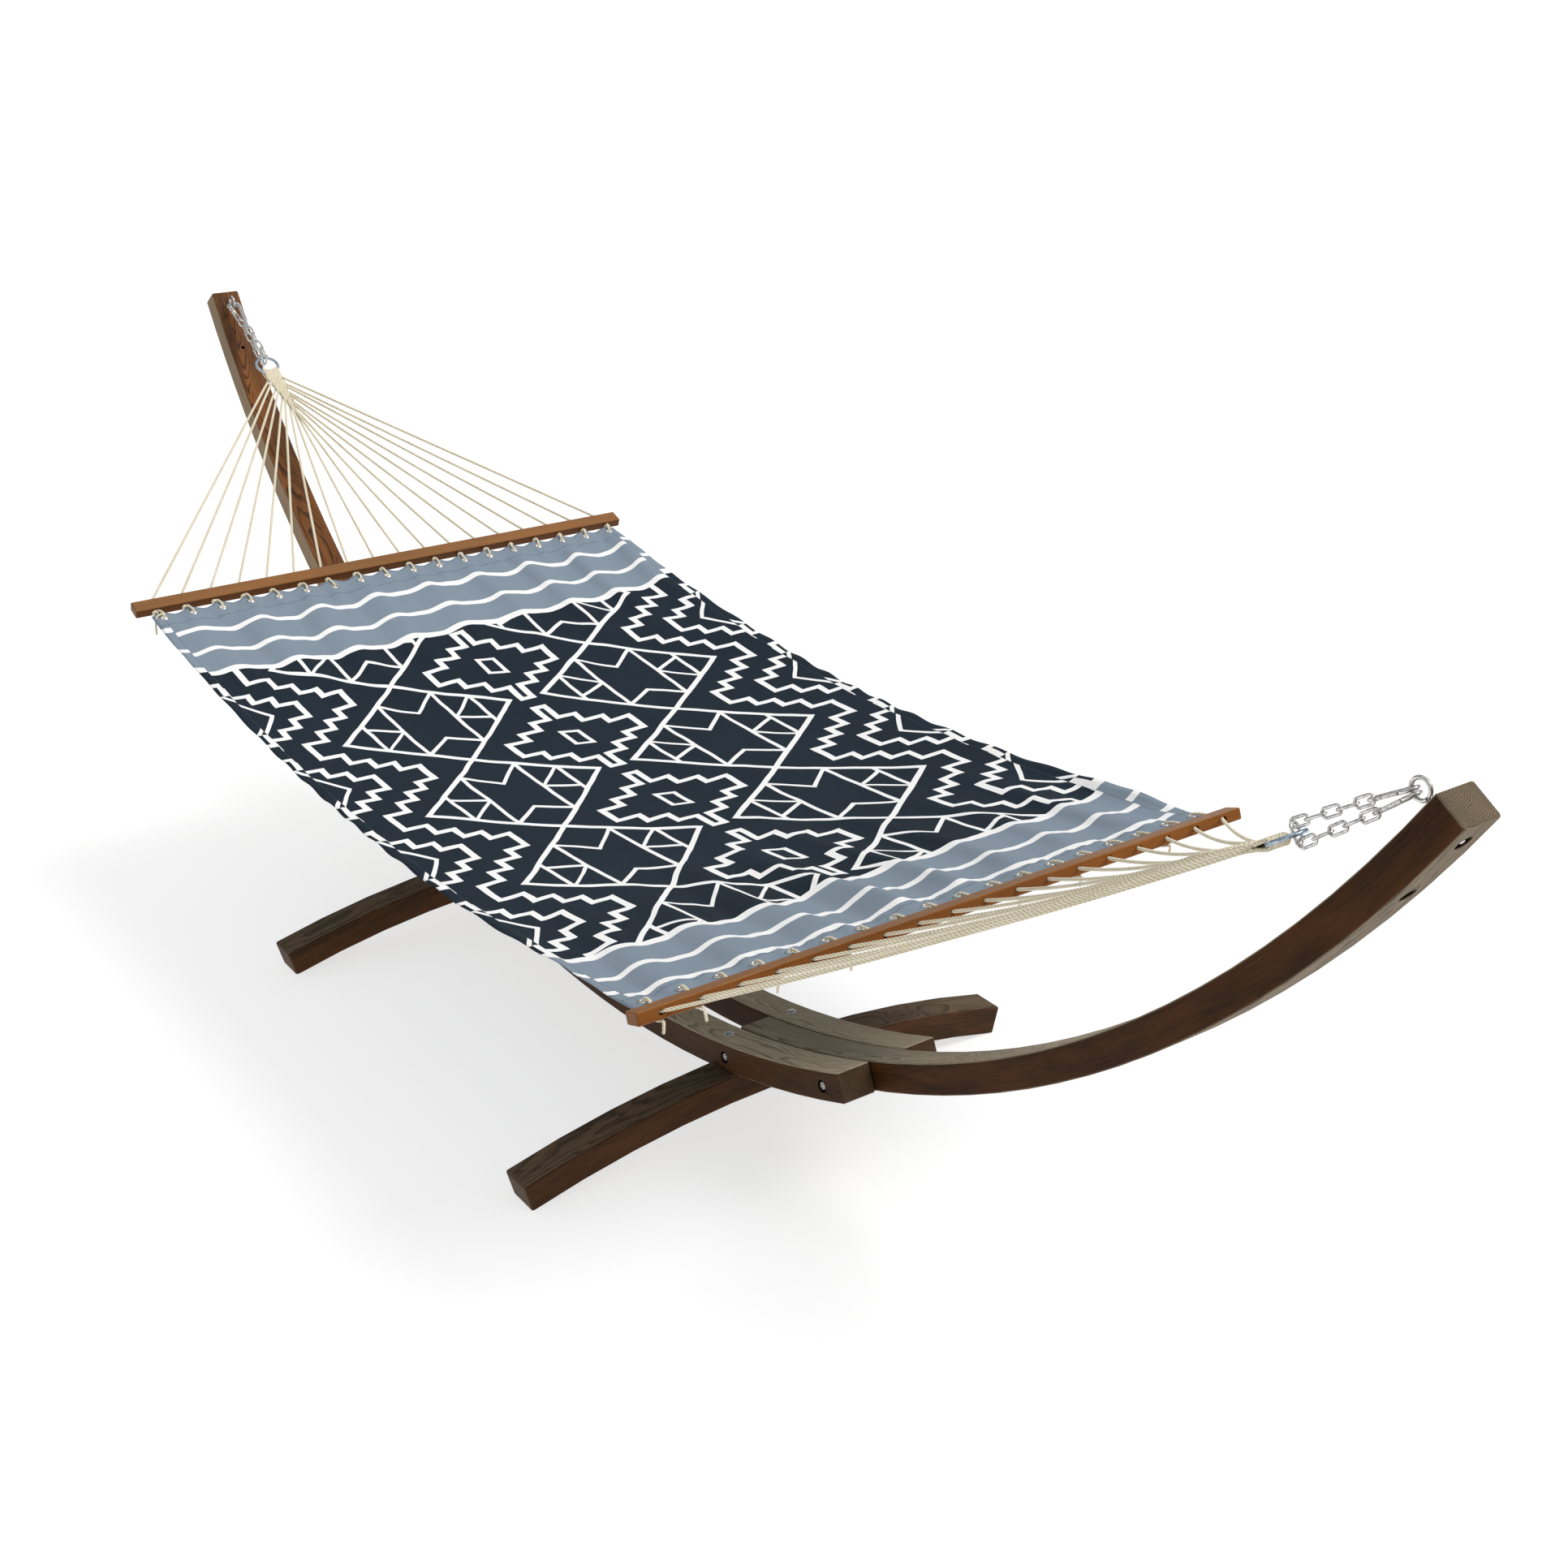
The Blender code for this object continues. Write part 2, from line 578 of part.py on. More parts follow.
def hook_mesh():
    """The hook's body, with a flat tongue on the stub for the gate's pin."""
    body = add_cutter("hook_body", wire_mesh("hook_body", hook_points(), HOOK_WIRE, 2))
    frame = gate_frame(HOOK_PIVOT)
    reach = GATE_RADIUS + 0.003
    plate_place = frame @ Matrix.Translation((reach / 2, 0.0, 0.0))
    size = (reach, 2 * TONGUE_RADIUS, TONGUE_THICKNESS)
    plate = add_cutter("hook_plate", box_mesh("hook_plate", size, plate_place))
    ends = (Vector((0, 0, -TONGUE_THICKNESS / 2)), Vector((0, 0, TONGUE_THICKNESS / 2)))
    disc = cylinder_mesh("hook_disc", TONGUE_RADIUS, *ends, 14)
    disc_cutter = add_cutter("hook_disc", disc, frame)
    bore_ends = (Vector((0, 0, -0.01)), Vector((0, 0, 0.01)))
    bore = cylinder_mesh("hook_bore", GATE_PIN_RADIUS + RUNNING_GAP, *bore_ends, 10)
    bore_cutter = add_cutter("hook_pin_bore", bore, frame)
    boolean(body, plate, "UNION")
    boolean(body, disc_cutter, "UNION")
    boolean(body, bore_cutter)
    made = evaluated_mesh(body, "snap_hook")
    for helper in (body, plate, disc_cutter, bore_cutter):
        bpy.data.objects.remove(helper, do_unlink=True)
    return made


def gate_mesh():
    """The gate rod, round-ended and slotted where it straddles the tongue. Its origin is the pin."""
    length = (gate_line(HOOK_PIVOT) - gate_line(HOOK_NOSE)).length - 2 * RUNNING_GAP
    bm = bmesh.new()
    bmesh.ops.create_uvsphere(bm, u_segments=10, v_segments=6, radius=GATE_RADIUS)
    bmesh.ops.rotate(bm, matrix=Matrix.Rotation(pi / 2, 3, "Y"), verts=bm.verts)
    round_end = add_cutter("gate_round", mesh_from(bm, "gate_round"))
    rod = cylinder_mesh("gate_rod", GATE_RADIUS, (-length, 0, 0), (0, 0, 0), 10)
    body = add_cutter("gate_rod", rod)
    slot_reach = TONGUE_RADIUS + 2 * RUNNING_GAP
    slot_place = Matrix.Translation(((0.01 - slot_reach) / 2, 0.0, 0.0))
    size = (0.01 + slot_reach, 0.02, TONGUE_THICKNESS + 2 * RUNNING_GAP)
    slot = add_cutter("gate_slot", box_mesh("gate_slot", size, slot_place))
    bore = cylinder_mesh("gate_bore", GATE_PIN_RADIUS + RUNNING_GAP, (0, 0, -0.01), (0, 0, 0.01), 10)
    bore_cutter = add_cutter("gate_pin_bore", bore)
    boolean(body, round_end, "UNION")
    boolean(body, slot)
    boolean(body, bore_cutter)
    made = evaluated_mesh(body, "hook_gate")
    for helper in (body, round_end, slot, bore_cutter):
        bpy.data.objects.remove(helper, do_unlink=True)
    return made


def pin_mesh():
    """The gate's rivet: a pin with a low head at each end."""
    half = GATE_RADIUS + RUNNING_GAP
    head = GATE_PIN_RADIUS * 1.6
    thick = 0.0004
    profile = [
        (0.0, half + thick),
        (head, half + thick),
        (head, half),
        (GATE_PIN_RADIUS, half),
        (GATE_PIN_RADIUS, -half),
        (head, -half),
        (head, -half - thick),
        (0.0, -half - thick),
    ]
    return turned_mesh("gate_pin", profile, 10)


def link_mesh():
    """One chain link in its own XY plane, long along X."""
    radius = LINK_WIDTH / 2 - LINK_WIRE
    reach = LINK_INNER_LENGTH / 2 + LINK_WIRE - radius
    right = arc_points(reach, radius, -pi / 2, pi / 2, 5)
    left = arc_points(-reach, radius, pi / 2, 3 * pi / 2, 5)
    return wire_mesh("chain_link", right + left, LINK_WIRE, 1, closed=True)


HOOK = hook_mesh()
GATE = gate_mesh()
PIN = pin_mesh()
LINK = link_mesh()

# Where the hooks bear in the eye, and how far apart the two strands of chain run.
HOOK_STACK = HOOK_WIRE + GAP
HOOK_BEARING = sqrt((EYE_HOLE - HOOK_WIRE - 4 * GAP) ** 2 - HOOK_STACK**2)
STRAND_AT_HOOK = LINK_WIDTH / 2 + 2 * GAP
STRAND_AT_RING = LINK_INNER_LENGTH / 2 + LINK_WIRE - (LINK_WIDTH / 2 - 3 * LINK_WIRE)
LINK_PITCH = LINK_INNER_LENGTH + LINK_BITE
LINK_HALF = LINK_INNER_LENGTH / 2


def build_suspension(end, sign):
    """Hooks, gates, chain and ring between one eye and the hammock. Returns the ring's frame."""
    drop = CHAIN_DROP[end]
    along = Vector((-sign * cos(drop), 0.0, -sin(drop)))
    up = Vector((-sign * sin(drop), 0.0, cos(drop)))
    eye = on_arc(EYE_CENTRE_RADIUS, sign * EYE_ANGLE)
    strand_start = HOOK_BEARING + HOOK_LENGTH
    first = LINK_HALF - HOOK_WIRE - GAP
    strand_run = LINK_PITCH * (LINKS_PER_STRAND - 1)
    links = []
    for level, rise in (("upper", 1), ("lower", -1)):
        seat = eye + along * HOOK_BEARING + up * (rise * HOOK_STACK)
        tail = eye + along * strand_start + up * (rise * STRAND_AT_HOOK)
        hook_place = chain_matrix(seat, tail - seat)
        tag = f"{end}_{level}"
        add_part(f"snap_hook_{tag}", HOOK.copy(), ZINC, 0.25, 1.0, hook_place)
        pivot = hook_place @ gate_frame(HOOK_PIVOT)
        add_part(f"hook_gate_{tag}", GATE.copy(), ZINC, 0.3, 1.0, pivot)
        add_part(f"gate_pin_{tag}", PIN.copy(), ZINC, 0.3, 1.0, pivot)
        narrow = hook_place @ Vector((HOOK_LENGTH, 0.0, 0.0))
        reach = along * (first + strand_run) + up * (rise * (STRAND_AT_RING - STRAND_AT_HOOK))
        line = reach.normalized()
        for index in range(LINKS_PER_STRAND):
            centre = narrow + line * (first + LINK_PITCH * index)
            place = chain_matrix(centre, line)
            if index % 2 == 0:
                place = place @ Matrix.Rotation(pi / 2, 4, "X")
            links.append(place)
    bight = HOOK_BEARING + HOOK_LENGTH + first + strand_run + LINK_HALF - LINK_WIRE + LINK_BITE
    links.append(chain_matrix(eye + along * bight, up))
    chain = add_part("chain_" + end, LINK.copy(), ZINC, 0.3, 1.0, links[0])
    for number, place in enumerate(links[1:], 2):
        tag = f"chain_{end}_link_{number:02d}"
        boolean(chain, add_cutter(tag, LINK.copy(), place), "UNION")
    bow = RING_RADIUS - sqrt(RING_RADIUS**2 - (LINK_WIDTH / 2) ** 2)
    ring_centre = eye + along * (bight - LINK_WIRE - GAP - bow - RING_WIRE + RING_RADIUS)
    frame = chain_matrix(ring_centre, along)
    bpy.ops.mesh.primitive_torus_add(
        major_segments=24, minor_segments=6, major_radius=RING_RADIUS, minor_radius=RING_WIRE
    )
    ring = bpy.context.object
    ring_mesh = ring.data
    bpy.data.objects.remove(ring, do_unlink=True)
    add_part("o_ring_" + end, ring_mesh, STEEL_RING, 0.25, 1.0, frame)
    return frame


# The hammock swings from side to side about a line through both eyes, where the hooks bear.
SWING_DROP = 0.0039
swing = bpy.data.objects.new("swing_axis", None)
swing.location = (0.0, 0.0, on_arc(EYE_CENTRE_RADIUS, EYE_ANGLE).z - SWING_DROP)
parts.objects.link(swing)
stand_pieces = set(parts.objects)

RING_FRAMES = {end: build_suspension(end, sign) for end, sign in ENDS.items()}
ROPE_PITCH = (BAR_LENGTH - 2 * ROPE_END_MARGIN) / (ROPE_COUNT - 1)
ROPE_YS = [ROPE_PITCH * (i - (ROPE_COUNT - 1) / 2) for i in range(ROPE_COUNT)]


def bar_frame(end, y=0.0):
    """A frame at the spreader bar whose X rises from the bed towards the ring."""
    x, z = BAR_PLACE[end]
    outward = Vector((ENDS[end] * cos(BAR_TILT), 0.0, sin(BAR_TILT)))
    side = Vector((0.0, 1.0, 0.0))
    turn = Matrix((outward, side, outward.cross(side))).transposed().to_4x4()
    return Matrix.Translation((x, y, z)) @ turn


def build_bar(end):
    """A hardwood spreader bar, bored for each rope."""
    name = "spreader_bar_" + end
    blank = add_cutter(name + "_blank", box_mesh(name, (BAR_WIDTH, BAR_LENGTH, BAR_THICKNESS)))
    bevel = blank.modifiers.new("ease", "BEVEL")
    bevel.width = EDGE_ROUND * 0.7
    bevel.segments = 1
    made = evaluated_mesh(blank, name)
    bpy.data.objects.remove(blank, do_unlink=True)
    bar = add_part(name, made, BAR_BROWN, 0.45, 0.0, bar_frame(end))
    for index, y in enumerate(ROPE_YS, 1):
        tag = f"{name}_hole_{index:02d}"
        ends = (Vector((-BAR_WIDTH, y, 0.0)), Vector((BAR_WIDTH, y, 0.0)))
        boolean(bar, add_cutter(tag, cylinder_mesh(tag, ROPE_HOLE_RADIUS, *ends, 6), bar_frame(end)))


for end in ENDS:
    build_bar(end)


def hem_place(end):
    """(x, z) of the bed's end hem, just inside the spreader bar."""
    x, z = BAR_PLACE[end]
    reach = BAR_WIDTH / 2 * cos(BAR_TILT) + BED_GAP
    return x - ENDS[end] * reach, z - BAR_WIDTH / 2 * sin(BAR_TILT) - BED_DROP


HEM_HEAD = hem_place("head")
HEM_FOOT = hem_place("foot")


def bed_height(x, y):
    """The bed's middle surface: a shallow dish hung between its two end hems."""
    share = (x - HEM_HEAD[0]) / (HEM_FOOT[0] - HEM_HEAD[0])
    chord = HEM_HEAD[1] + (HEM_FOOT[1] - HEM_HEAD[1]) * share
    across = 1.0 - (2.0 * y / BED_WIDTH) ** 2
    return chord - 4.0 * share * (1.0 - share) * (EDGE_SAG + (CENTRE_SAG - EDGE_SAG) * across)


def eyelet_place(end, y):
    """The centre of an eyelet on the bed's middle surface."""
    x = hem_place(end)[0] - ENDS[end] * EYELET_INSET
    return Vector((x, y, bed_height(x, y)))


def eyelet_y(y):
    """Where a rope meets the bed: the eyelets are spread over the bed's own width."""
    outermost = BED_WIDTH / 2 - EYELET_INSET
    return y * outermost / ROPE_YS[-1]


def build_bed():
    """The sling bed: one thin dished sheet with a row of eyelets at each end."""
    bm = bmesh.new()
    bmesh.ops.create_grid(bm, x_segments=16, y_segments=8, size=0.5)
    for vert in bm.verts:
        x = HEM_HEAD[0] + (HEM_FOOT[0] - HEM_HEAD[0]) * (vert.co.x + 0.5)
        y = BED_WIDTH * vert.co.y
        vert.co = (x, y, bed_height(x, y))
    bmesh.ops.recalc_face_normals(bm, faces=bm.faces)
    mesh = bpy.data.meshes.new("bed")
    bm.to_mesh(mesh)
    bm.free()
    bed = add_part("bed", mesh, NAVY, 0.8)
    skin = bed.modifiers.new("cloth", "SOLIDIFY")
    skin.thickness = BED_THICKNESS
    skin.offset = 0.0
    skin.use_even_offset = True
    for end in ENDS:
        for index, y in enumerate(ROPE_YS, 1):
            centre = eyelet_place(end, eyelet_y(y))
            ends = (centre - Vector((0, 0, 0.01)), centre + Vector((0, 0, 0.01)))
            tag = f"eyelet_{end}_{index:02d}"
            boolean(bed, add_cutter(tag, cylinder_mesh(tag, EYELET_RADIUS, *ends, 6)))


build_bed()


def rope_points(end, band, y):
    """One harness rope: out of the woven band, through the bar, and looped through its eyelet."""
    share = (ROPE_COUNT / 2 - abs(y) / ROPE_PITCH) / (ROPE_COUNT / 2 - 0.5)
    distance = BAND_LENGTH * (0.10 + 0.86 * share)
    half_width = BAND_HALF_WIDTH + (BAND_TIP_HALF_WIDTH - BAND_HALF_WIDTH) * distance / BAND_LENGTH
    side = 1 if y > 0 else -1
    inside = band @ Vector((distance - 0.004, side * -(half_width - 0.005), 0.0))
    start = band @ Vector((distance, side * -(half_width - 0.0025), 0.0))
    bar = bar_frame(end, y)
    half = BAR_WIDTH / 2
    outer = bar @ Vector((half + 0.004, 0.0, 0.0))
    inner = bar @ Vector((-half - 0.003, 0.0, 0.0))
    middle = (start + outer) / 2 - Vector((0.0, 0.0, ROPE_SAG[end]))
    eyelet = eyelet_place(end, eyelet_y(y))
    sign = ENDS[end]
    skin = BED_THICKNESS / 2 + ROPE_RADIUS
    over = eyelet + Vector((sign * 0.004, 0.0, skin + LACING_OVER))
    rise = inner.z + 0.002 - over.z
    shoulder = Vector(((inner.x + over.x) / 2, (inner.y + over.y) / 2, over.z + rise * 0.5 + 0.003))
    through = eyelet + Vector((0.0, 0.0, -0.0015))
    under = eyelet + Vector((sign * 0.006, 0.0, -skin - LACING_UNDER))
    tuck = Vector((inner.x - sign * 0.002, (inner.y + eyelet.y) / 2, inner.z - LACING_UNDER - skin - ROPE_RADIUS))
    points = [inside, start]
    if ROPE_SAG[end]:
        points.append(middle)
    return points + [outer, inner, shoulder, over, through, under, tuck]


def build_harness(end):
    """The rope harness: a woven band looped round the ring, and the ropes it fans out into."""
    name = "rope_harness_" + end
    ring = RING_FRAMES[end]
    ring_centre = ring.translation
    x, z = BAR_PLACE[end]
    direction = (Vector((x, 0.0, z)) - ring_centre).normalized()
    bearing = ring_centre + (ring.to_3x3() @ Vector((1, 0, 0))) * RING_RADIUS
    band = chain_matrix(bearing, direction)
    head = RING_WIRE + 0.0045
    bm = bmesh.new()
    bmesh.ops.create_cube(bm, size=1.0)
    for vert in bm.verts:
        far = vert.co.x > 0
        half_width = BAND_TIP_HALF_WIDTH if far else BAND_HALF_WIDTH
        thickness = BAND_THICKNESS * (0.62 if far else 1.0)
        vert.co = (BAND_LENGTH if far else -head, 2 * half_width * vert.co.y, thickness * vert.co.z)
    mesh = mesh_from(bm, name)
    harness = add_part(name, mesh, COTTON, 0.9, 0.0, band)
    bpy.ops.mesh.primitive_torus_add(
        major_segments=24, minor_segments=6, major_radius=RING_RADIUS, minor_radius=RING_WIRE + 0.0005
    )
    hollow = bpy.context.object
    hollow_mesh = hollow.data
    bpy.data.objects.remove(hollow, do_unlink=True)
    boolean(harness, add_cutter(name + "_ring_hollow", hollow_mesh, ring))
    for index, y in enumerate(ROPE_YS, 1):
        tag = f"{name}_{index:02d}"
        rope = wire_mesh(tag, rope_points(end, band, y), ROPE_RADIUS, 1)
        boolean(harness, add_cutter(tag, rope), "UNION")


for end in ENDS:
    build_harness(end)

bpy.context.view_layer.update()
for piece in set(parts.objects) - stand_pieces:
    world = piece.matrix_world.copy()
    piece.parent = swing
    piece.matrix_world = world
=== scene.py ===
import functools
import math

import bmesh
import bpy
import numpy as np
from mathutils import Matrix, Vector


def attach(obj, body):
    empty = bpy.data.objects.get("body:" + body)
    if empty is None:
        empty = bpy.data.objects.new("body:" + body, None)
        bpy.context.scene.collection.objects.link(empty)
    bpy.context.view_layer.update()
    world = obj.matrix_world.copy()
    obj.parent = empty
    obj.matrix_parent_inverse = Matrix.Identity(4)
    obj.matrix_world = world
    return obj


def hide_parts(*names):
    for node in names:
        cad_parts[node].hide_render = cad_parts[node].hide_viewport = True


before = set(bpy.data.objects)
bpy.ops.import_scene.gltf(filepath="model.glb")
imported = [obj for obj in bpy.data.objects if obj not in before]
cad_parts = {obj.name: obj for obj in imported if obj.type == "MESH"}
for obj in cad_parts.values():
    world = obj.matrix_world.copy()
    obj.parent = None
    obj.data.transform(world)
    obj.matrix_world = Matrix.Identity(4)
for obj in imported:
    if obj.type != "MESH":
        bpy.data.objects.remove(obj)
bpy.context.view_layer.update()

scene = bpy.context.scene
ends = {"head": -1, "foot": 1}


# camera and light

cameraSet = {
    "place": (3.2540, -1.8934, 2.1409),
    "right": (0.57665, 0.81699, 0.0),
    "up": (-0.32967, 0.23269, 0.91497),
    "lens": 46.88,
    "sensor": 36.0,
}


def frameAt(origin, *axes):
    # the matrix that stands at the origin point with the three axes as its columns
    return Matrix.Translation(origin) @ Matrix(axes).transposed().to_4x4()


def makeCamera():
    right, up = Vector(cameraSet["right"]), Vector(cameraSet["up"])
    data = bpy.data.cameras.new("productCamera")
    data.lens, data.sensor_width = cameraSet["lens"], cameraSet["sensor"]
    camera = bpy.data.objects.new("productCamera", data)
    camera.matrix_world = frameAt(cameraSet["place"], right, up, right.cross(up))
    scene.collection.objects.link(camera)
    scene.camera = camera


lightSet = {
    "horizon": 0.16,
    "zenith": 0.88,
    "backdrop": 1.1,
    "key": 1.85,
    "keySpread": math.radians(26),
    "keyFrom": (0.62, 0.50, 1.0),
    "keyReach": 4.0,
}


def makeLight():
    world = bpy.data.worlds.new("studio")
    scene.world = world
    world.use_nodes = True
    sky = world.node_tree.nodes["Background"]
    sky.inputs["Color"].default_value = (1.0, 1.0, 1.0, 1.0)
    # the room is bright overhead and darker low down, and a plain white where it is seen as the backdrop
    tree = world.node_tree
    height = tree.nodes.new("ShaderNodeSeparateXYZ")
    tree.links.new(tree.nodes.new("ShaderNodeTexCoord").outputs["Generated"], height.inputs[0])
    level = tree.nodes.new("ShaderNodeMapRange")
    level.inputs["To Min"].default_value = lightSet["horizon"]
    level.inputs["To Max"].default_value = lightSet["zenith"]
    tree.links.new(height.outputs["Z"], level.inputs["Value"])
    seen = tree.nodes.new("ShaderNodeMix")
    seen.inputs["B"].default_value = lightSet["backdrop"]
    tree.links.new(level.outputs["Result"], seen.inputs["A"])
    tree.links.new(tree.nodes.new("ShaderNodeLightPath").outputs["Is Camera Ray"], seen.inputs["Factor"])
    tree.links.new(seen.outputs["Result"], sky.inputs["Strength"])
    data = bpy.data.lights.new("overheadSoftbox", "SUN")
    data.energy, data.angle = lightSet["key"], lightSet["keySpread"]
    lamp = bpy.data.objects.new("overheadSoftbox", data)
    lamp.location = Vector(lightSet["keyFrom"]) * lightSet["keyReach"]
    lamp.rotation_euler = (-lamp.location).to_track_quat("-Z", "Y").to_euler()
    scene.collection.objects.link(lamp)
    scene.view_settings.view_transform = "Standard"


makeCamera()
makeLight()
print("camera and light made")


# mesh helpers

def gridFaces(rows, columns, closeRows=False, closeColumns=False, first=0):
    # quads between neighbouring points of a rows by columns grid, as one index array
    r = np.arange(rows if closeRows else rows - 1)[:, None]
    c = np.arange(columns if closeColumns else columns - 1)[None, :]
    nextR, nextC = (r + 1) % rows, (c + 1) % columns
    quads = np.stack([r * columns + c, r * columns + nextC, nextR * columns + nextC, nextR * columns + c], -1)
    return quads.reshape(-1, 4) + first


def joinShells(shells):
    # several (points, faces) shells as one
    points, faces, start = [], [], 0
    for shellPoints, shellFaces in shells:
        points.append(shellPoints)
        faces += [[i + start for i in face] for face in shellFaces]
        start += len(shellPoints)
    return np.concatenate(points), faces


def addPiece(name, mesh, material, body, replaced):
    mesh.polygons.foreach_set("use_smooth", np.ones(len(mesh.polygons), bool))
    mesh.materials.append(material)
    piece = bpy.data.objects.new(name, mesh)
    scene.collection.objects.link(piece)
    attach(piece, body)
    if replaced:
        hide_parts(*replaced)
    return piece


def makePiece(name, points, faces, material, body, replaced=(), facing=True, place=None):
    mesh = bpy.data.meshes.new(name)
    mesh.from_pydata(np.asarray(points, float).tolist(), [], [list(map(int, f)) for f in faces])
    if facing:
        shape = bmesh.new()
        shape.from_mesh(mesh)
        bmesh.ops.recalc_face_normals(shape, faces=shape.faces)
        shape.to_mesh(mesh)
        shape.free()
    if place is not None:
        mesh.attributes.new("ownPlace", "FLOAT_VECTOR", "POINT").data.foreach_set("vector", place.ravel())
    return addPiece(name, mesh, material, body, replaced)


def hump(distance, width):
    # 1 at no distance, and fading as exp(-(distance / width)^2)
    return np.exp(-((distance / width) ** 2))


def unit(vectors):
    return vectors / np.maximum(np.linalg.norm(vectors, axis=-1, keepdims=True), 1e-12)


def sweep(path, profile, across=(0.0, 1.0, 0.0), closed=False, scale=None, turn=None):
    # point(i, k) = path(i) + side(i) * profileX(k) + normal(i) * profileY(k), turned by turn(i) about the path
    path = np.asarray(path, float)
    if closed:
        tangent = unit(np.roll(path, -1, 0) - np.roll(path, 1, 0))
    else:
        tangent = unit(np.gradient(path, axis=0))
    side = np.broadcast_to(np.asarray(across, float), path.shape)
    side = unit(side - (side * tangent).sum(1, keepdims=True) * tangent)
    normal = np.cross(tangent, side)
    size = np.ones(len(path)) if scale is None else scale
    angle = np.zeros(len(path)) if turn is None else turn
    cosine, sine = np.cos(angle)[:, None], np.sin(angle)[:, None]
    px = (profile[:, 0] * cosine - profile[:, 1] * sine) * size[:, None]
    py = (profile[:, 0] * sine + profile[:, 1] * cosine) * size[:, None]
    points = path[:, None, :] + side[:, None, :] * px[..., None] + normal[:, None, :] * py[..., None]
    count = len(profile)
    faces = gridFaces(len(path), count, closeRows=closed, closeColumns=True).tolist()
    if not closed:
        faces.append(list(range(count))[::-1])
        faces.append([(len(path) - 1) * count + k for k in range(count)])
    return points.reshape(-1, 3), faces


def circle(radius, sides):
    # point(k) = radius * (cos, sin) of k equal steps round a circle
    angle = np.arange(sides) * 2 * np.pi / sides
    return np.stack([radius * np.cos(angle), radius * np.sin(angle)], 1)


def smoothLine(knots, step, closed=False):
    # Catmull-Rom curve through the knots, sampled at an even spacing
    knots = np.asarray(knots, float)
    if closed:
        padded = np.concatenate([knots[-1:], knots, knots[:2]])
    else:
        padded = np.concatenate([2 * knots[:1] - knots[1:2], knots, 2 * knots[-1:] - knots[-2:-1]])
    spans = len(padded) - 3
    t = np.linspace(0, 1, 24, endpoint=False)[None, :, None]
    a, b, c, d = (padded[i:i + spans][:, None, :] for i in range(4))
    fine = 0.5 * (2 * b + (c - a) * t + (2 * a - 5 * b + 4 * c - d) * t**2 + (3 * b - a - 3 * c + d) * t**3)
    fine = fine.reshape(-1, 3)
    fine = np.concatenate([fine, knots[:1] if closed else knots[-1:]])
    reach = np.concatenate([[0], np.cumsum(np.linalg.norm(np.diff(fine, axis=0), axis=1))])
    count = max(4, int(round(reach[-1] / step)) + 1)
    even = np.linspace(0, reach[-1], count)
    line = np.stack([np.interp(even, reach, fine[:, i]) for i in range(3)], 1)
    return line[:-1] if closed else line


def placed(points, matrix):
    m = np.array(matrix)
    return np.asarray(points, float) @ m[:3, :3].T + m[:3, 3]


def lathe(profile, sides=24):
    # each (radius, height) of the profile turned about Z
    profile = np.asarray(profile, float)
    angle = np.arange(sides) * 2 * np.pi / sides
    x = profile[:, :1] * np.cos(angle)
    y = profile[:, :1] * np.sin(angle)
    z = np.broadcast_to(profile[:, 1:], x.shape)
    points = np.stack([x, y, z], -1).reshape(-1, 3)
    faces = gridFaces(len(profile), sides, closeColumns=True).tolist()
    faces.append(list(range(sides))[::-1])
    faces.append([(len(profile) - 1) * sides + k for k in range(sides)])
    return points, faces


copySet = {"merge": 2e-5, "flat": math.radians(0.4)}


# a copy of a CAD node with its corners merged, so that its bends shade smoothly and its edges stay crisp
def smoothedCopy(nodeName, pieceName, material, body, crisp):
    shape = bmesh.new()
    shape.from_mesh(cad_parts[nodeName].data)
    bmesh.ops.remove_doubles(shape, verts=shape.verts, dist=copySet["merge"])
    bmesh.ops.dissolve_limit(shape, angle_limit=copySet["flat"], verts=shape.verts, edges=shape.edges)
    mesh = bpy.data.meshes.new(pieceName)
    shape.to_mesh(mesh)
    shape.free()
    addPiece(pieceName, mesh, material, body, [nodeName])
    mesh.set_sharp_from_angle(angle=math.radians(crisp))


# shader formulas: a Field is a number or a socket, and each operation on it adds one Math node

def feed(tree, socket, value):
    # link a Field or a socket, and set anything else on the socket itself
    raw = value.source if isinstance(value, Field) else value
    if isinstance(raw, bpy.types.NodeSocket):
        tree.links.new(raw, socket)
    else:
        socket.default_value = raw


class Field:
    def __init__(self, tree, source):
        self.tree, self.source = tree, source

    def math(self, operation, *others):
        node = self.tree.nodes.new("ShaderNodeMath")
        node.operation = operation
        for socket, value in zip(node.inputs, (self,) + others):
            feed(self.tree, socket, value)
        return Field(self.tree, node.outputs[0])

    def __rsub__(self, other): return Field(self.tree, float(other)).math("SUBTRACT", self)
    def __rtruediv__(self, other): return Field(self.tree, float(other)).math("DIVIDE", self)
    def __abs__(self): return self.math("ABSOLUTE")

    def ramp(self, low, high):
        # 0 at low, 1 at high, smooth between them
        node = self.tree.nodes.new("ShaderNodeMapRange")
        node.interpolation_type = "SMOOTHSTEP"
        self.tree.links.new(self.source, node.inputs["Value"])
        node.inputs["From Min"].default_value, node.inputs["From Max"].default_value = low, high
        return Field(self.tree, node.outputs["Result"])


for word, mathName in {"__add__": "ADD", "__radd__": "ADD", "__sub__": "SUBTRACT", "__mul__": "MULTIPLY",
                       "__rmul__": "MULTIPLY", "__truediv__": "DIVIDE", "__lt__": "LESS_THAN",
                       "__gt__": "GREATER_THAN", "least": "MINIMUM", "most": "MAXIMUM"}.items():
    setattr(Field, word, lambda self, other, mathName=mathName: self.math(mathName, other))


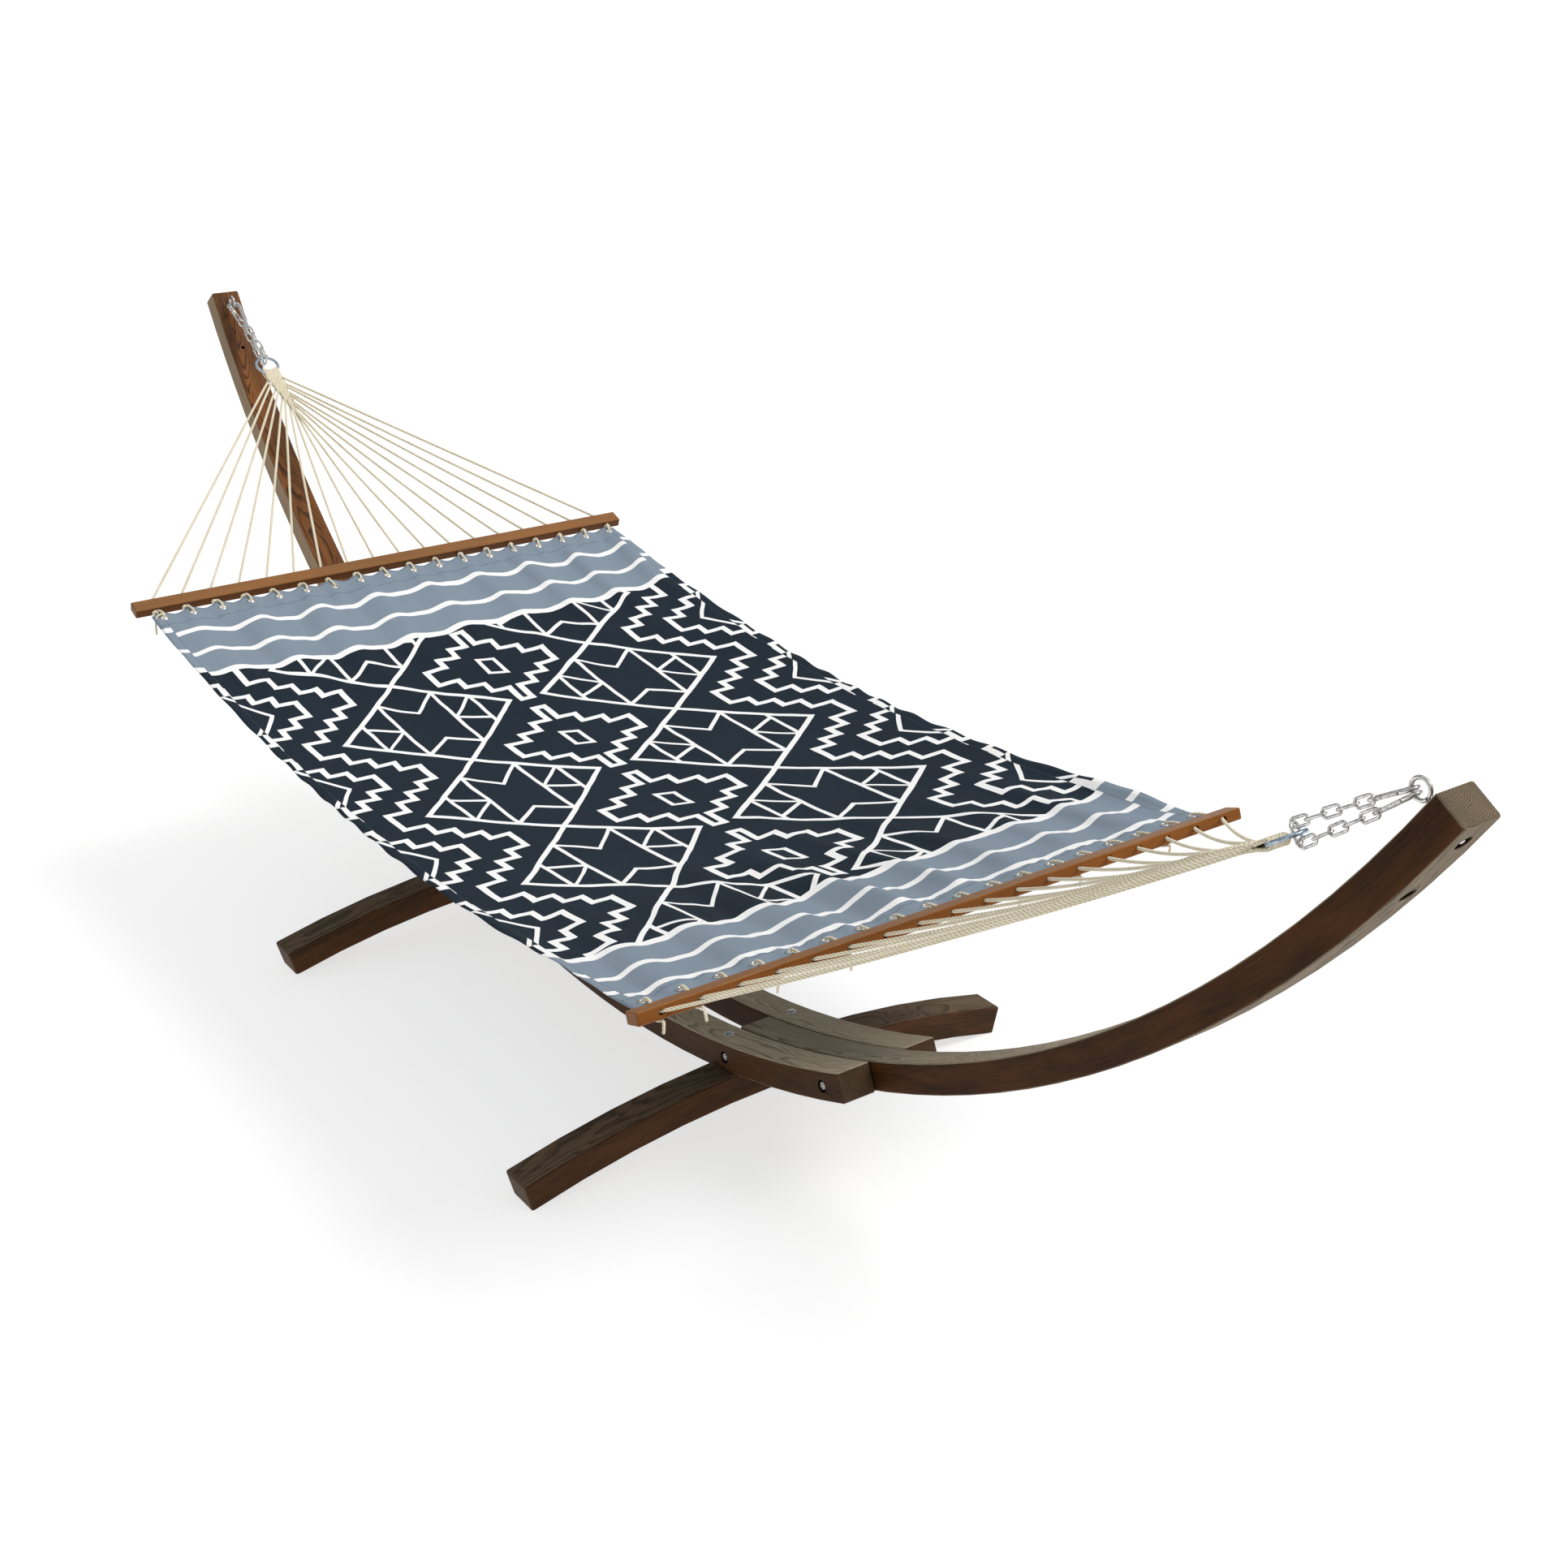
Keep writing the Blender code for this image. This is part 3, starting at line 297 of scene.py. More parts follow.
def splitVector(tree, socket):
    node = tree.nodes.new("ShaderNodeSeparateXYZ")
    tree.links.new(socket, node.inputs[0])
    return [Field(tree, out) for out in node.outputs]


def joinVector(tree, *parts):
    node = tree.nodes.new("ShaderNodeCombineXYZ")
    for socket, part in zip(node.inputs, parts):
        feed(tree, socket, part)
    return node.outputs[0]


def noise(tree, vector, scale=1.0, detail=2.0, roughness=0.5):
    node = tree.nodes.new("ShaderNodeTexNoise")
    for label, value in {"Vector": vector, "Scale": scale, "Detail": detail, "Roughness": roughness}.items():
        feed(tree, node.inputs[label], value)
    return Field(tree, node.outputs[0])


def blendColour(tree, amount, low, high):
    node = tree.nodes.new("ShaderNodeMix")
    node.data_type = "RGBA"
    sockets = [s for s in node.inputs if s.enabled]
    for socket, value in zip(sockets, (amount, low, high)):
        feed(tree, socket, (*value, 1.0) if isinstance(value, tuple) else value)
    return [s for s in node.outputs if s.enabled][0]


def newGroup(name, inputs, outputs):
    # an input with no value is a vector, any other is a number, and every output is a number
    group = bpy.data.node_groups.new(name, "ShaderNodeTree")
    for label, value in inputs.items():
        kind = "NodeSocketVector" if value is None else "NodeSocketFloat"
        socket = group.interface.new_socket(label, in_out="INPUT", socket_type=kind)
        if value is not None:
            socket.default_value = value
    for label in outputs:
        group.interface.new_socket(label, in_out="OUTPUT", socket_type="NodeSocketFloat")
    return group, group.nodes.new("NodeGroupInput"), group.nodes.new("NodeGroupOutput")


def closeGroup(group, put, *results):
    for result, socket in zip(results, put.inputs):
        group.links.new(result.source, socket)
    return group


def useGroup(tree, group, values):
    node = tree.nodes.new("ShaderNodeGroup")
    node.node_tree = group
    for label, value in values.items():
        feed(tree, node.inputs[label], value)
    return {out.name: Field(tree, out) for out in node.outputs}


def newMaterial(name):
    material = bpy.data.materials.new(name)
    material.use_nodes = True
    tree = material.node_tree
    return material, tree, tree.nodes["Principled BSDF"]


def dressShader(tree, shader, colour, roughness, bump, fixed):
    # colour, roughness and bump vary over the surface; a fixed value is set on the shader's own socket
    node = tree.nodes.new("ShaderNodeBump")
    for label, value in zip(("Height", "Distance", "Strength"), bump):
        feed(tree, node.inputs[label], value)
    surface = {"Base Color": colour, "Roughness": roughness, "Normal": node.outputs["Normal"], **fixed}
    for label, value in surface.items():
        feed(tree, shader.inputs[label], value)


def objectPlace(tree):
    return tree.nodes.new("ShaderNodeTexCoord").outputs["Object"]


def ownPlace(tree):
    # the place that a piece's own mesh carries for each of its points
    node = tree.nodes.new("ShaderNodeAttribute")
    node.attribute_name = "ownPlace"
    return node.outputs["Vector"]


# growth rings about a wandering pith, and long fibres
def makeWoodFigure():
    tree, got, put = newGroup(
        "woodFigure",
        {"Along": 0.0, "Across": 0.0, "Depth": 0.0, "Pith": 0.06, "Ring Pitch": 0.006, "Wander": 0.02,
         "Knot Along": 0.0, "Knot Across": 0.0, "Knot Size": 0.0},
        ["Rings", "Fibre", "Patch", "Knot"],
    )
    fields = [Field(tree, got.outputs[i]) for i in range(9)]
    along, across, depth, pith, pitch, wander, knotAlong, knotAcross, knotSize = fields
    slow = noise(tree, joinVector(tree, along * 1.7, across * 5.0, depth * 5.0), 1.0, 2.0)
    sway = noise(tree, joinVector(tree, along * 2.3 + 7.0, across * 4.0, depth * 4.0 + 3.0), 1.0, 1.0)
    sideways = across + (slow - 0.5) * wander * 2.0 + 0.012
    below = depth + pith + (sway - 0.5) * wander
    radius = (sideways * sideways + below * below).math("SQRT")
    knotX, knotY = (along - knotAlong) * 0.55, across - knotAcross
    knotReach = (knotX * knotX + knotY * knotY).math("SQRT") / (knotSize + 0.0001)
    swell = 1.0 / (1.0 + knotReach * knotReach * 1.6)
    knot = 1.0 - knotReach.ramp(0.10, 0.22)
    jitter = noise(tree, joinVector(tree, along * 9.0, across * 70.0, depth * 70.0), 1.0, 2.0, 0.6)
    turns = (radius + swell * knotSize * 1.5) / pitch + (jitter - 0.5) * 1.5
    ringWave = turns.math("FRACT")
    late = ringWave.ramp(0.45, 0.92) * (1.0 - ringWave.ramp(0.93, 1.0))
    fibre = noise(tree, joinVector(tree, along * 22.0, across * 780.0, depth * 780.0), 1.0, 3.0, 0.7)
    patch = noise(tree, joinVector(tree, along * 3.5, across * 22.0, depth * 22.0), 1.0, 3.0, 0.6)
    return closeGroup(tree, put, late, fibre, patch, knot)


# how near a point of a rectangular bar is to one of its long edges, broken up by noise
def makeEdgeWear():
    group, got, put = newGroup(
        "edgeWear",
        {"Across": 0.0, "Depth": 0.0, "Half Width": 0.035, "Half Depth": 0.0275, "Reach": 0.003, "Vector": None},
        ["Edge"],
    )
    across, depth, halfWidth, halfDepth, reach = [Field(group, got.outputs[i]) for i in range(5)]
    inset = (halfWidth - abs(across)).most(halfDepth - abs(depth))
    broken = noise(group, got.outputs["Vector"], 45.0, 3.0, 0.6)
    edge = 1.0 - inset / (reach * (0.5 + broken))
    return closeGroup(group, put, edge.most(0.0).least(1.0))


woodFigure = makeWoodFigure()
edgeWear = makeEdgeWear()


# stained timber of the stand

timberSet = {
    "dark": (0.0190, 0.0066, 0.0016),
    "red": (0.105, 0.0340, 0.0062),
    "line": (0.0085, 0.0042, 0.0022),
    "faded": (0.385, 0.325, 0.225),
    "fadedLine": (0.105, 0.076, 0.046),
    "hole": (0.0060, 0.0035, 0.0020),
    "edge": (0.110, 0.055, 0.024),
    "ringPitch": 0.0037,
    "ringWander": 0.060,
    "wornReach": 0.0022,
    "gloss": 0.08,
    "bump": 0.0005,
}
# how far each side of a timber is greyed, partly by weather and partly as a painted reflection of the bright room;
# how light its stain is painted (lift, painted light: the head arm is painted far lighter where the light falls on
# it); how much its grey is painted lighter (the rails' tops, painted light against the bed's shadow); and its knot
timberKinds = {
    # the grey colour's scale of 1.55 on the rails is painted light, lifting their tops against the shadow the bed
    # casts on them
    "rail": {"side": 0.03, "inner": 1.00, "outer": 0.30, "end": 0.08,
             "lift": 0.88, "pale": 1.55, "knot": (0.35, 0.012, 0.018)},
    "headArm": {"side": 0.62, "inner": 0.06, "outer": 0.55, "end": 0.25,
                "lift": 3.0, "pale": 1.0, "knot": (-2.02, 0.014, 0.030)},
    "footArm": {"side": 0.01, "inner": 0.92, "outer": 0.52, "end": 0.42,
                "lift": 0.92, "pale": 1.0, "knot": (1.15, -0.016, 0.022)},
    "foot": {"side": 0.03, "inner": 0.24, "outer": 0.40, "end": 0.15,
             "lift": 0.98, "pale": 1.1, "knot": (0.31, 0.010, 0.020)},
}


def lifted(colour, amount):
    return tuple(part * amount for part in colour)


# grain that follows a beam bent about (centreHeight) in the XZ plane, or in the YZ plane for the cross feet
def makeTimber(name, node, kind, plane, centreHeight, beamRadius, offset, halfWidth, halfDepth, seed):
    t, k = timberSet, timberKinds[kind]
    bend = 1.0 if beamRadius > 0 else -1.0
    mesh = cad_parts[node].data
    corners = np.empty(len(mesh.vertices) * 3)
    mesh.vertices.foreach_get("co", corners)
    corners = corners.reshape(-1, 3)
    sweepAngle = np.arctan2(corners[:, 0 if plane == "xz" else 1], bend * (centreHeight - corners[:, 2]))
    tip = float(np.abs(sweepAngle).max()) * abs(beamRadius)  # how far along the bend the timber's free end lies
    material, tree, shader = newMaterial(name)
    x, y, z = splitVector(tree, objectPlace(tree))
    lengthways, across = (x, y) if plane == "xz" else (y, x)
    drop = (centreHeight - z) * bend
    depth = (lengthways * lengthways + drop * drop).math("SQRT") - abs(beamRadius)
    along = lengthways.math("ARCTAN2", drop) * abs(beamRadius)
    across = across - offset
    knotAlong, knotAcross, knotSize = k["knot"]
    rings, fibre, patch, knot = useGroup(tree, woodFigure, {
        "Along": along + seed, "Across": across, "Depth": depth, "Pith": 0.045 + 0.01 * math.sin(seed),
        "Ring Pitch": t["ringPitch"], "Wander": t["ringWander"],
        "Knot Along": knotAlong + seed, "Knot Across": knotAcross, "Knot Size": knotSize}).values()
    tone = patch.ramp(0.30, 0.72) * 0.55 + fibre.ramp(0.35, 0.70) * 0.45
    # painted light: each beam's stain is scaled by its lift, and the head arm is painted about three times lighter
    # where the light falls on it
    colour = blendColour(tree, tone, lifted(t["dark"], k["lift"]), lifted(t["red"], k["lift"]))
    onSide = abs(across).ramp(halfWidth - 0.0022, halfWidth - 0.0010)
    onInner = (depth * -bend).ramp(halfDepth - 0.0024, halfDepth - 0.0011)
    onOuter = (depth * bend).ramp(halfDepth - 0.0024, halfDepth - 0.0011)
    onTip = abs(along).ramp(tip - 0.0030, tip - 0.0012)
    dark = (rings * (0.55 + 0.6 * fibre) * (1.0 - 0.62 * onSide)).least(1.0).most(knot)
    colour = blendColour(tree, dark, colour, lifted(t["line"], 0.5 + 0.5 * k["lift"]))
    # the grey colour: partly weathering, partly a painted reflection of the bright room on the upper, outer and end
    # faces
    weatheredAndLit = blendColour(tree, dark * 0.65 + (1.0 - fibre.ramp(0.38, 0.60)) * 0.35,
                            lifted(t["faded"], k["pale"]), lifted(t["fadedLine"], k["pale"]))
    greyedAndLit = (onSide * k["side"]).most(onInner * k["inner"]).most(onOuter * k["outer"]).most(onTip * k["end"])
    colour = blendColour(tree, (greyedAndLit * (0.70 + 0.6 * patch)).least(1.0).most(0.0), colour, weatheredAndLit)
    worn = useGroup(tree, edgeWear, {"Across": across, "Depth": depth, "Half Width": halfWidth,
                                     "Half Depth": halfDepth, "Reach": t["wornReach"], "Vector": objectPlace(tree)})
    colour = blendColour(tree, worn["Edge"] * 0.45, colour, t["edge"])
    # painted shade: bore walls, away from every outer face, are painted near black
    boreShade = 1.0 - onSide.most(onInner).most(onOuter).most(onTip)
    colour = blendColour(tree, boreShade, colour, t["hole"])
    dressShader(tree, shader, colour, 0.44 + 0.22 * fibre + 0.12 * greyedAndLit,
                (fibre * 0.5 + rings * 0.5, t["bump"], 0.55), {"Specular IOR Level": t["gloss"]})
    return material


standSet = {"centre": 2.396, "radius": 2.3066, "halfWidth": 0.035, "halfDepth": 0.0275,
            "railOffset": 0.0715, "footCentre": -1.9876, "footRadius": 2.0837, "footX": 0.522,
            "footHalfWidth": 0.03475, "footHalfDepth": 0.02925}


def buildStand():
    s = standSet
    beams = [("rail_near", "nearRail", "rail", -s["railOffset"], 1.3),
             ("rail_far", "farRail", "rail", s["railOffset"], 4.1),
             ("arm_head", "headArm", "headArm", 0.0, 7.7),
             ("arm_foot", "footArm", "footArm", 0.0, 2.6)]
    for node, name, kind, offset, seed in beams:
        timber = makeTimber(name + "Timber", node, kind, "xz", s["centre"], s["radius"], offset,
                            s["halfWidth"], s["halfDepth"], seed)
        smoothedCopy(node, name, timber, "stand", 30)
    for end, sign in ends.items():
        timber = makeTimber(end + "FootTimber", "cross_foot_" + end, "foot", "yz", s["footCentre"], -s["footRadius"],
                            sign * s["footX"], s["footHalfWidth"], s["footHalfDepth"], 5.0 + 3.0 * sign)
        smoothedCopy("cross_foot_" + end, end + "CrossFoot", timber, "stand", 30)
    print("stand timber made")


buildStand()


# metal

def makePlatingGroup():
    # clouded patches and fine specks of a plated surface
    group, got, put = newGroup(
        "plating", {"Place": None, "Cloud Scale": 160.0, "Speck Scale": 900.0}, ["Cloud", "Speck"])
    marks = []
    for label, detail in (("Cloud Scale", 3.0), ("Speck Scale", 2.0)):
        marks.append(noise(group, got.outputs["Place"], got.outputs[label], detail, 0.55))
    return closeGroup(group, put, *marks)


metalSet = {
    "brightZinc": {"colour": (0.72, 0.715, 0.70), "dull": (0.36, 0.355, 0.34), "rough": 0.13, "spread": 0.20},
    "boltZinc": {"colour": (0.66, 0.65, 0.63), "dull": (0.24, 0.24, 0.235), "rough": 0.20, "spread": 0.22},
    "blueRingSteel": {"colour": (0.46, 0.54, 0.64), "dull": (0.26, 0.32, 0.40), "rough": 0.14, "spread": 0.18},
}
plating = makePlatingGroup()


def makeMetal(name):
    m = metalSet[name]
    material, tree, shader = newMaterial(name)
    cloud, speck = useGroup(tree, plating, {"Place": objectPlace(tree)}).values()
    colour = blendColour(tree, cloud.ramp(0.40, 0.75), m["colour"], m["dull"])
    dressShader(tree, shader, colour, m["rough"] + m["spread"] * cloud + 0.04 * speck,
                (cloud + 0.4 * speck, 0.0002, 0.25), {"Metallic": 1.0})
    return material


zinc, darkZinc, ringSteel = (makeMetal(name) for name in metalSet)

for node in [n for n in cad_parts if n.startswith(("through_", "carriage_", "eye_nut"))]:
    plain = "".join(w.capitalize() for w in node.split("_"))
    smoothedCopy(node, plain[0].lower() + plain[1:], darkZinc, "stand", 25)

hangSet = {
    "eyeAngle": 0.989, "standoff": 0.027, "eyeWire": 0.0030, "eyeHole": 0.0115,
    "shankRadius": 0.004, "shankReach": 0.0535, "collarRadius": 0.0082, "collarHeight": 0.0035, "seatGap": 0.0006,
    "hookWire": 0.0030, "hookLength": 0.073, "wide": 0.0125, "narrow": 0.007, "nose": 0.017,
    "pivot": 0.057, "gateRadius": 0.0028, "gap": 0.0003,
    "linkWire": 0.002, "linkLook": 0.00235, "linkInner": 0.028, "linkWidth": 0.0165, "links": 5, "bite": 0.0004,
    "ringRadius": 0.0265, "ringWire": 0.0035,
    "drop": {"head": math.radians(32.5), "foot": math.radians(35.7)},
}
eyeRadius = hangSet["eyeHole"] + hangSet["eyeWire"]
eyeCentreRadius = standSet["radius"] - standSet["halfDepth"] - hangSet["standoff"]


def onArc(radius, angle, y=0.0):
    return Vector((radius * math.sin(angle), y, standSet["centre"] - radius * math.cos(angle)))


def radialFrame(radius, angle):
    outward = Vector((math.sin(angle), 0.0, -math.cos(angle)))
    across = Vector((0.0, 1.0, 0.0))
    return frameAt(onArc(radius, angle), across.cross(outward), across, outward)


def chainFrame(origin, direction):
    along = Vector(direction).normalized()
    side = Vector((0.0, -1.0, 0.0))
    return frameAt(origin, along, side, along.cross(side))


def arcLine(centre, radius, start, stop, count):
    # point(angle) = (centre + radius * cos, radius * sin, 0)
    angle = np.linspace(start, stop, count)
    return np.stack([centre + radius * np.cos(angle), radius * np.sin(angle), np.zeros(count)], 1)


def ringLoop(radius, count):
    # point(angle) = radius * (cos, sin, 0) round a full turn
    angle = np.linspace(0, 2 * np.pi, count, endpoint=False)
    return np.stack([radius * np.cos(angle), radius * np.sin(angle), 0 * angle], 1)


# a wire ring standing on edge, and the shank with its collar turned about the bolt's axis
def buildEye(end, sign):
    h = hangSet
    ring = sweep(ringLoop(eyeRadius, 56)[:, [0, 2, 1]], circle(h["eyeWire"], 14), closed=True)
    shank, collar, root = h["shankRadius"], h["collarRadius"], eyeRadius - 0.001
    low = h["standoff"] - h["collarHeight"]
    seat = h["standoff"] - h["seatGap"]
    stop = h["standoff"] + h["shankReach"]
    profile = [(0.0008, root), (shank, root), (shank + 0.0006, low - 0.0015), (collar - 0.0012, low),
               (collar, low + 0.001), (collar, seat), (shank, seat), (shank, stop - 0.001),
               (shank - 0.0008, stop), (0.0008, stop)]
    points, faces = joinShells([ring, lathe(profile)])
    place = radialFrame(eyeCentreRadius, sign * h["eyeAngle"])
    makePiece(end + "EyeBolt", placed(points, place), faces, zinc, "stand", ["eye_bolt_" + end])


# each hook is a drop shape: a wide arc and a narrow one joined by their common tangents
wideCentre = hangSet["wide"]
narrowCentre = hangSet["hookLength"] - hangSet["narrow"]
taper = math.asin((hangSet["wide"] - hangSet["narrow"]) / (narrowCentre - wideCentre))
tangentX = wideCentre + hangSet["wide"] * math.sin(taper)
tangentY = hangSet["wide"] * math.cos(taper)


def gateLine(along):
    return np.array([[along, tangentY - math.tan(taper) * (along - tangentX), 0.0]])


# the hook's wire runs from the nose round both arcs to the gate's pivot, a little thicker in the bend
def hookShell():
    h = hangSet
    lean = math.pi / 2 - taper
    path = np.concatenate([gateLine(h["nose"]), arcLine(wideCentre, h["wide"], lean, 2 * math.pi - lean, 30),
                           arcLine(narrowCentre, h["narrow"], -lean, lean, 18),
                           gateLine(h["pivot"] + h["gateRadius"] + 0.0006)])
    path = smoothLine(path, 0.0016)
    reach = np.linspace(0, 1, len(path))
    size = (1.0 + 0.06 * hump(reach - 0.36, 0.07)) * (1.0 - 0.22 * hump(reach, 0.012))
    return sweep(path, circle(h["hookWire"], 14), across=(0, 0, 1), scale=size)


# two half circles joined by straights, with a slight swelling at the weld
def linkShell():
    h = hangSet
    radius = h["linkWidth"] / 2 - h["linkWire"]
    reach = h["linkInner"] / 2 + h["linkWire"] - radius
    path = np.concatenate([arcLine(reach, radius, -math.pi / 2, math.pi / 2, 14),
                           arcLine(-reach, radius, math.pi / 2, 3 * math.pi / 2, 14)])
    path = smoothLine(path, 0.0009, closed=True)
    weld = 1.0 + 0.10 * hump(path[:, 0], 0.0016) * (path[:, 1] > 0)
    return sweep(path, circle(h["linkLook"], 12), across=(0, 0, 1), closed=True, scale=weld)


def buildSuspension(end, sign):
    h = hangSet
    drop = h["drop"][end]
    along = Vector((-sign * math.cos(drop), 0.0, -math.sin(drop)))
    up = Vector((-sign * math.sin(drop), 0.0, math.cos(drop)))
    eye = onArc(eyeCentreRadius, sign * h["eyeAngle"])
    stack = h["hookWire"] + h["gap"]
    bearing = math.sqrt((h["eyeHole"] - h["hookWire"] - 4 * h["gap"]) ** 2 - stack**2)
    riseHook = h["linkWidth"] / 2 + 2 * h["gap"]
    riseRing = h["linkInner"] / 2 + h["linkWire"] - (h["linkWidth"] / 2 - 3 * h["linkWire"])
    pitch = h["linkInner"] + h["bite"]
    half = h["linkInner"] / 2
    first = half - h["hookWire"] - h["gap"]
    run = pitch * (h["links"] - 1)
    hookPoints, hookFaces = hookShell()
    linkPoints, linkFaces = linkShell()
    links = []
    for level, rise in (("upper", 1), ("lower", -1)):
        seat = eye + along * bearing + up * (rise * stack)
        tail = eye + along * (bearing + h["hookLength"]) + up * (rise * riseHook)
        place = chainFrame(seat, tail - seat)
        tag = f"{end}_{level}"
        makePiece(f"{end}{level.capitalize()}Hook", placed(hookPoints, place), hookFaces, zinc, "hammock",
                  ["snap_hook_" + tag])
        smoothedCopy("hook_gate_" + tag, f"{end}{level.capitalize()}Gate", darkZinc, "gate_" + tag, 40)
        smoothedCopy("gate_pin_" + tag, f"{end}{level.capitalize()}GatePin", darkZinc, "hammock", 30)
        narrow = place @ Vector((h["hookLength"], 0.0, 0.0))
        line = (along * (first + run) + up * (rise * (riseRing - riseHook))).normalized()
        for index in range(h["links"]):
            spot = chainFrame(narrow + line * (first + pitch * index), line)
            if index % 2 == 0:
                spot = spot @ Matrix.Rotation(math.pi / 2, 4, "X")
            links.append(spot)
    bight = bearing + h["hookLength"] + first + run + half - h["linkWire"] + h["bite"]
    links.append(chainFrame(eye + along * bight, up))
    points, faces = joinShells([(placed(linkPoints, spot), linkFaces) for spot in links])
    makePiece(end + "Chain", points, faces, zinc, "hammock", ["chain_" + end])
    bow = h["ringRadius"] - math.sqrt(h["ringRadius"] ** 2 - (h["linkWidth"] / 2) ** 2)
    centre = eye + along * (bight - h["linkWire"] - h["gap"] - bow - h["ringWire"] + h["ringRadius"])
    ringFrame = chainFrame(centre, along)
    points, faces = sweep(ringLoop(h["ringRadius"], 72), circle(h["ringWire"], 16), across=(0, 0, 1), closed=True)
    makePiece(end + "Ring", placed(points, ringFrame), faces, ringSteel, "hammock", ["o_ring_" + end])
    return ringFrame


ringFrames = {}
for end, sign in ends.items():
    buildEye(end, sign)
    ringFrames[end] = buildSuspension(end, sign)
print("eyes, hooks, chains and rings made")


# spreader bars

barSet = {"length": 1.226, "width": 0.035, "thickness": 0.021, "tilt": math.radians(20),
          "place": {"head": (-1.026, 0.687), "foot": (1.063, 0.659)},
          "dark": (0.115, 0.036, 0.0052), "light": (0.275, 0.092, 0.0130), "line": (0.070, 0.026, 0.007),
          "shaded": (0.060, 0.022, 0.0060), "faded": (0.300, 0.150, 0.058), "edge": (0.52, 0.27, 0.09),
          "wornReach": 0.0016}


def makeBarWood(end, sign):
    b = barSet
    material, tree, shader = newMaterial(end + "BarWood")
    x, y, z = splitVector(tree, objectPlace(tree))
    placeX, placeZ = b["place"][end]
    c, s = math.cos(b["tilt"]), math.sin(b["tilt"])
    across = (x - placeX) * (sign * c) + (z - placeZ) * s
    depth = (z - placeZ) * c - (x - placeX) * (sign * s)
    figure = useGroup(tree, woodFigure, {"Along": y * 0.8 + 3.0 * sign, "Across": across, "Depth": depth,
                                         "Pith": 0.11, "Ring Pitch": 0.0036, "Wander": 0.02})
    rings, fibre, patch = (figure[key] for key in ("Rings", "Fibre", "Patch"))
    colour = blendColour(tree, patch.ramp(0.25, 0.75) * 0.7 + fibre * 0.3, b["dark"], b["light"])
    colour = blendColour(tree, rings * 0.40, colour, b["line"])
    # painted light: the top face is painted lighter, towards the pale top colour, where the light falls on it
    top = depth.ramp(b["thickness"] * 0.40, b["thickness"] * 0.49)
    # painted shade: the side that faces the bed is painted darker
    bedSideShade = (0.0 - across).ramp(b["width"] * 0.47, b["width"] * 0.495)
    colour = blendColour(tree, bedSideShade * (0.45 + 0.3 * patch), colour, b["shaded"])
    colour = blendColour(tree, top * (0.25 + 0.5 * fibre), colour, b["faded"])
    worn = useGroup(tree, edgeWear, {
        "Across": across, "Depth": depth, "Half Width": b["width"] / 2, "Half Depth": b["thickness"] / 2,
        "Reach": b["wornReach"], "Vector": objectPlace(tree)})
    colour = blendColour(tree, worn["Edge"] * 0.55, colour, b["edge"])
    dressShader(tree, shader, colour, 0.30 + 0.22 * fibre, (fibre * 0.6 + rings * 0.4, 0.0003, 0.5),
                {"Specular IOR Level": 0.14, "Coat Weight": 0.04, "Coat Roughness": 0.30})
    return material


for end, sign in ends.items():
    smoothedCopy("spreader_bar_" + end, end + "SpreaderBar", makeBarWood(end, sign), "hammock", 30)
print("spreader bars made")


# bed: places shared by the cloth, its eyelets and the ropes

bedSet = {"width": 1.170, "gap": 0.012, "drop": 0.004, "edgeSag": 0.095, "centreSag": 0.137, "eyeletInset": 0.022,
          "flat": (1.170, 2.05), "thickness": 0.0012, "ripplePitch": 0.1324,
          "ripple": {"head": (0.0078, 0.36, 0.030), "foot": (0.0118, 0.42, -0.058)},
          "pucker": 0.0018, "gather": 0.0032, "scallop": 0.0065, "scallopFade": 0.016, "sidePucker": 0.0026,
          "eyeletHole": 0.0116, "sideHem": 0.020, "endHem": 0.050, "cell": (0.0095, 0.0080)}
ropeSet = {"count": 18, "margin": 0.040, "radius": 0.0032, "lay": 0.021, "step": 0.0026,
           "sag": {"head": 0.0, "foot": 0.012}, "bandLength": 0.165, "slot": 0.0043,
           "wefts": 9, "weftRadius": 0.0019, "weftPitch": 0.0145, "firstWeft": 0.019,
           "lacingRadius": 0.0028, "knotRadius": 0.0026}
ropePitch = (barSet["length"] - 2 * ropeSet["margin"]) / (ropeSet["count"] - 1)
ropeYs = ropePitch * (np.arange(ropeSet["count"]) - (ropeSet["count"] - 1) / 2)
eyeletYs = ropeYs * (bedSet["width"] / 2 - bedSet["eyeletInset"]) / ropeYs[-1]
eyeletPitch = eyeletYs[1] - eyeletYs[0]


def hemPlace(end):
    x, z = barSet["place"][end]
    reach = barSet["width"] / 2 * math.cos(barSet["tilt"]) + bedSet["gap"]
    return x - ends[end] * reach, z - barSet["width"] / 2 * math.sin(barSet["tilt"]) - bedSet["drop"]


hemHead, hemFoot = hemPlace("head"), hemPlace("foot")


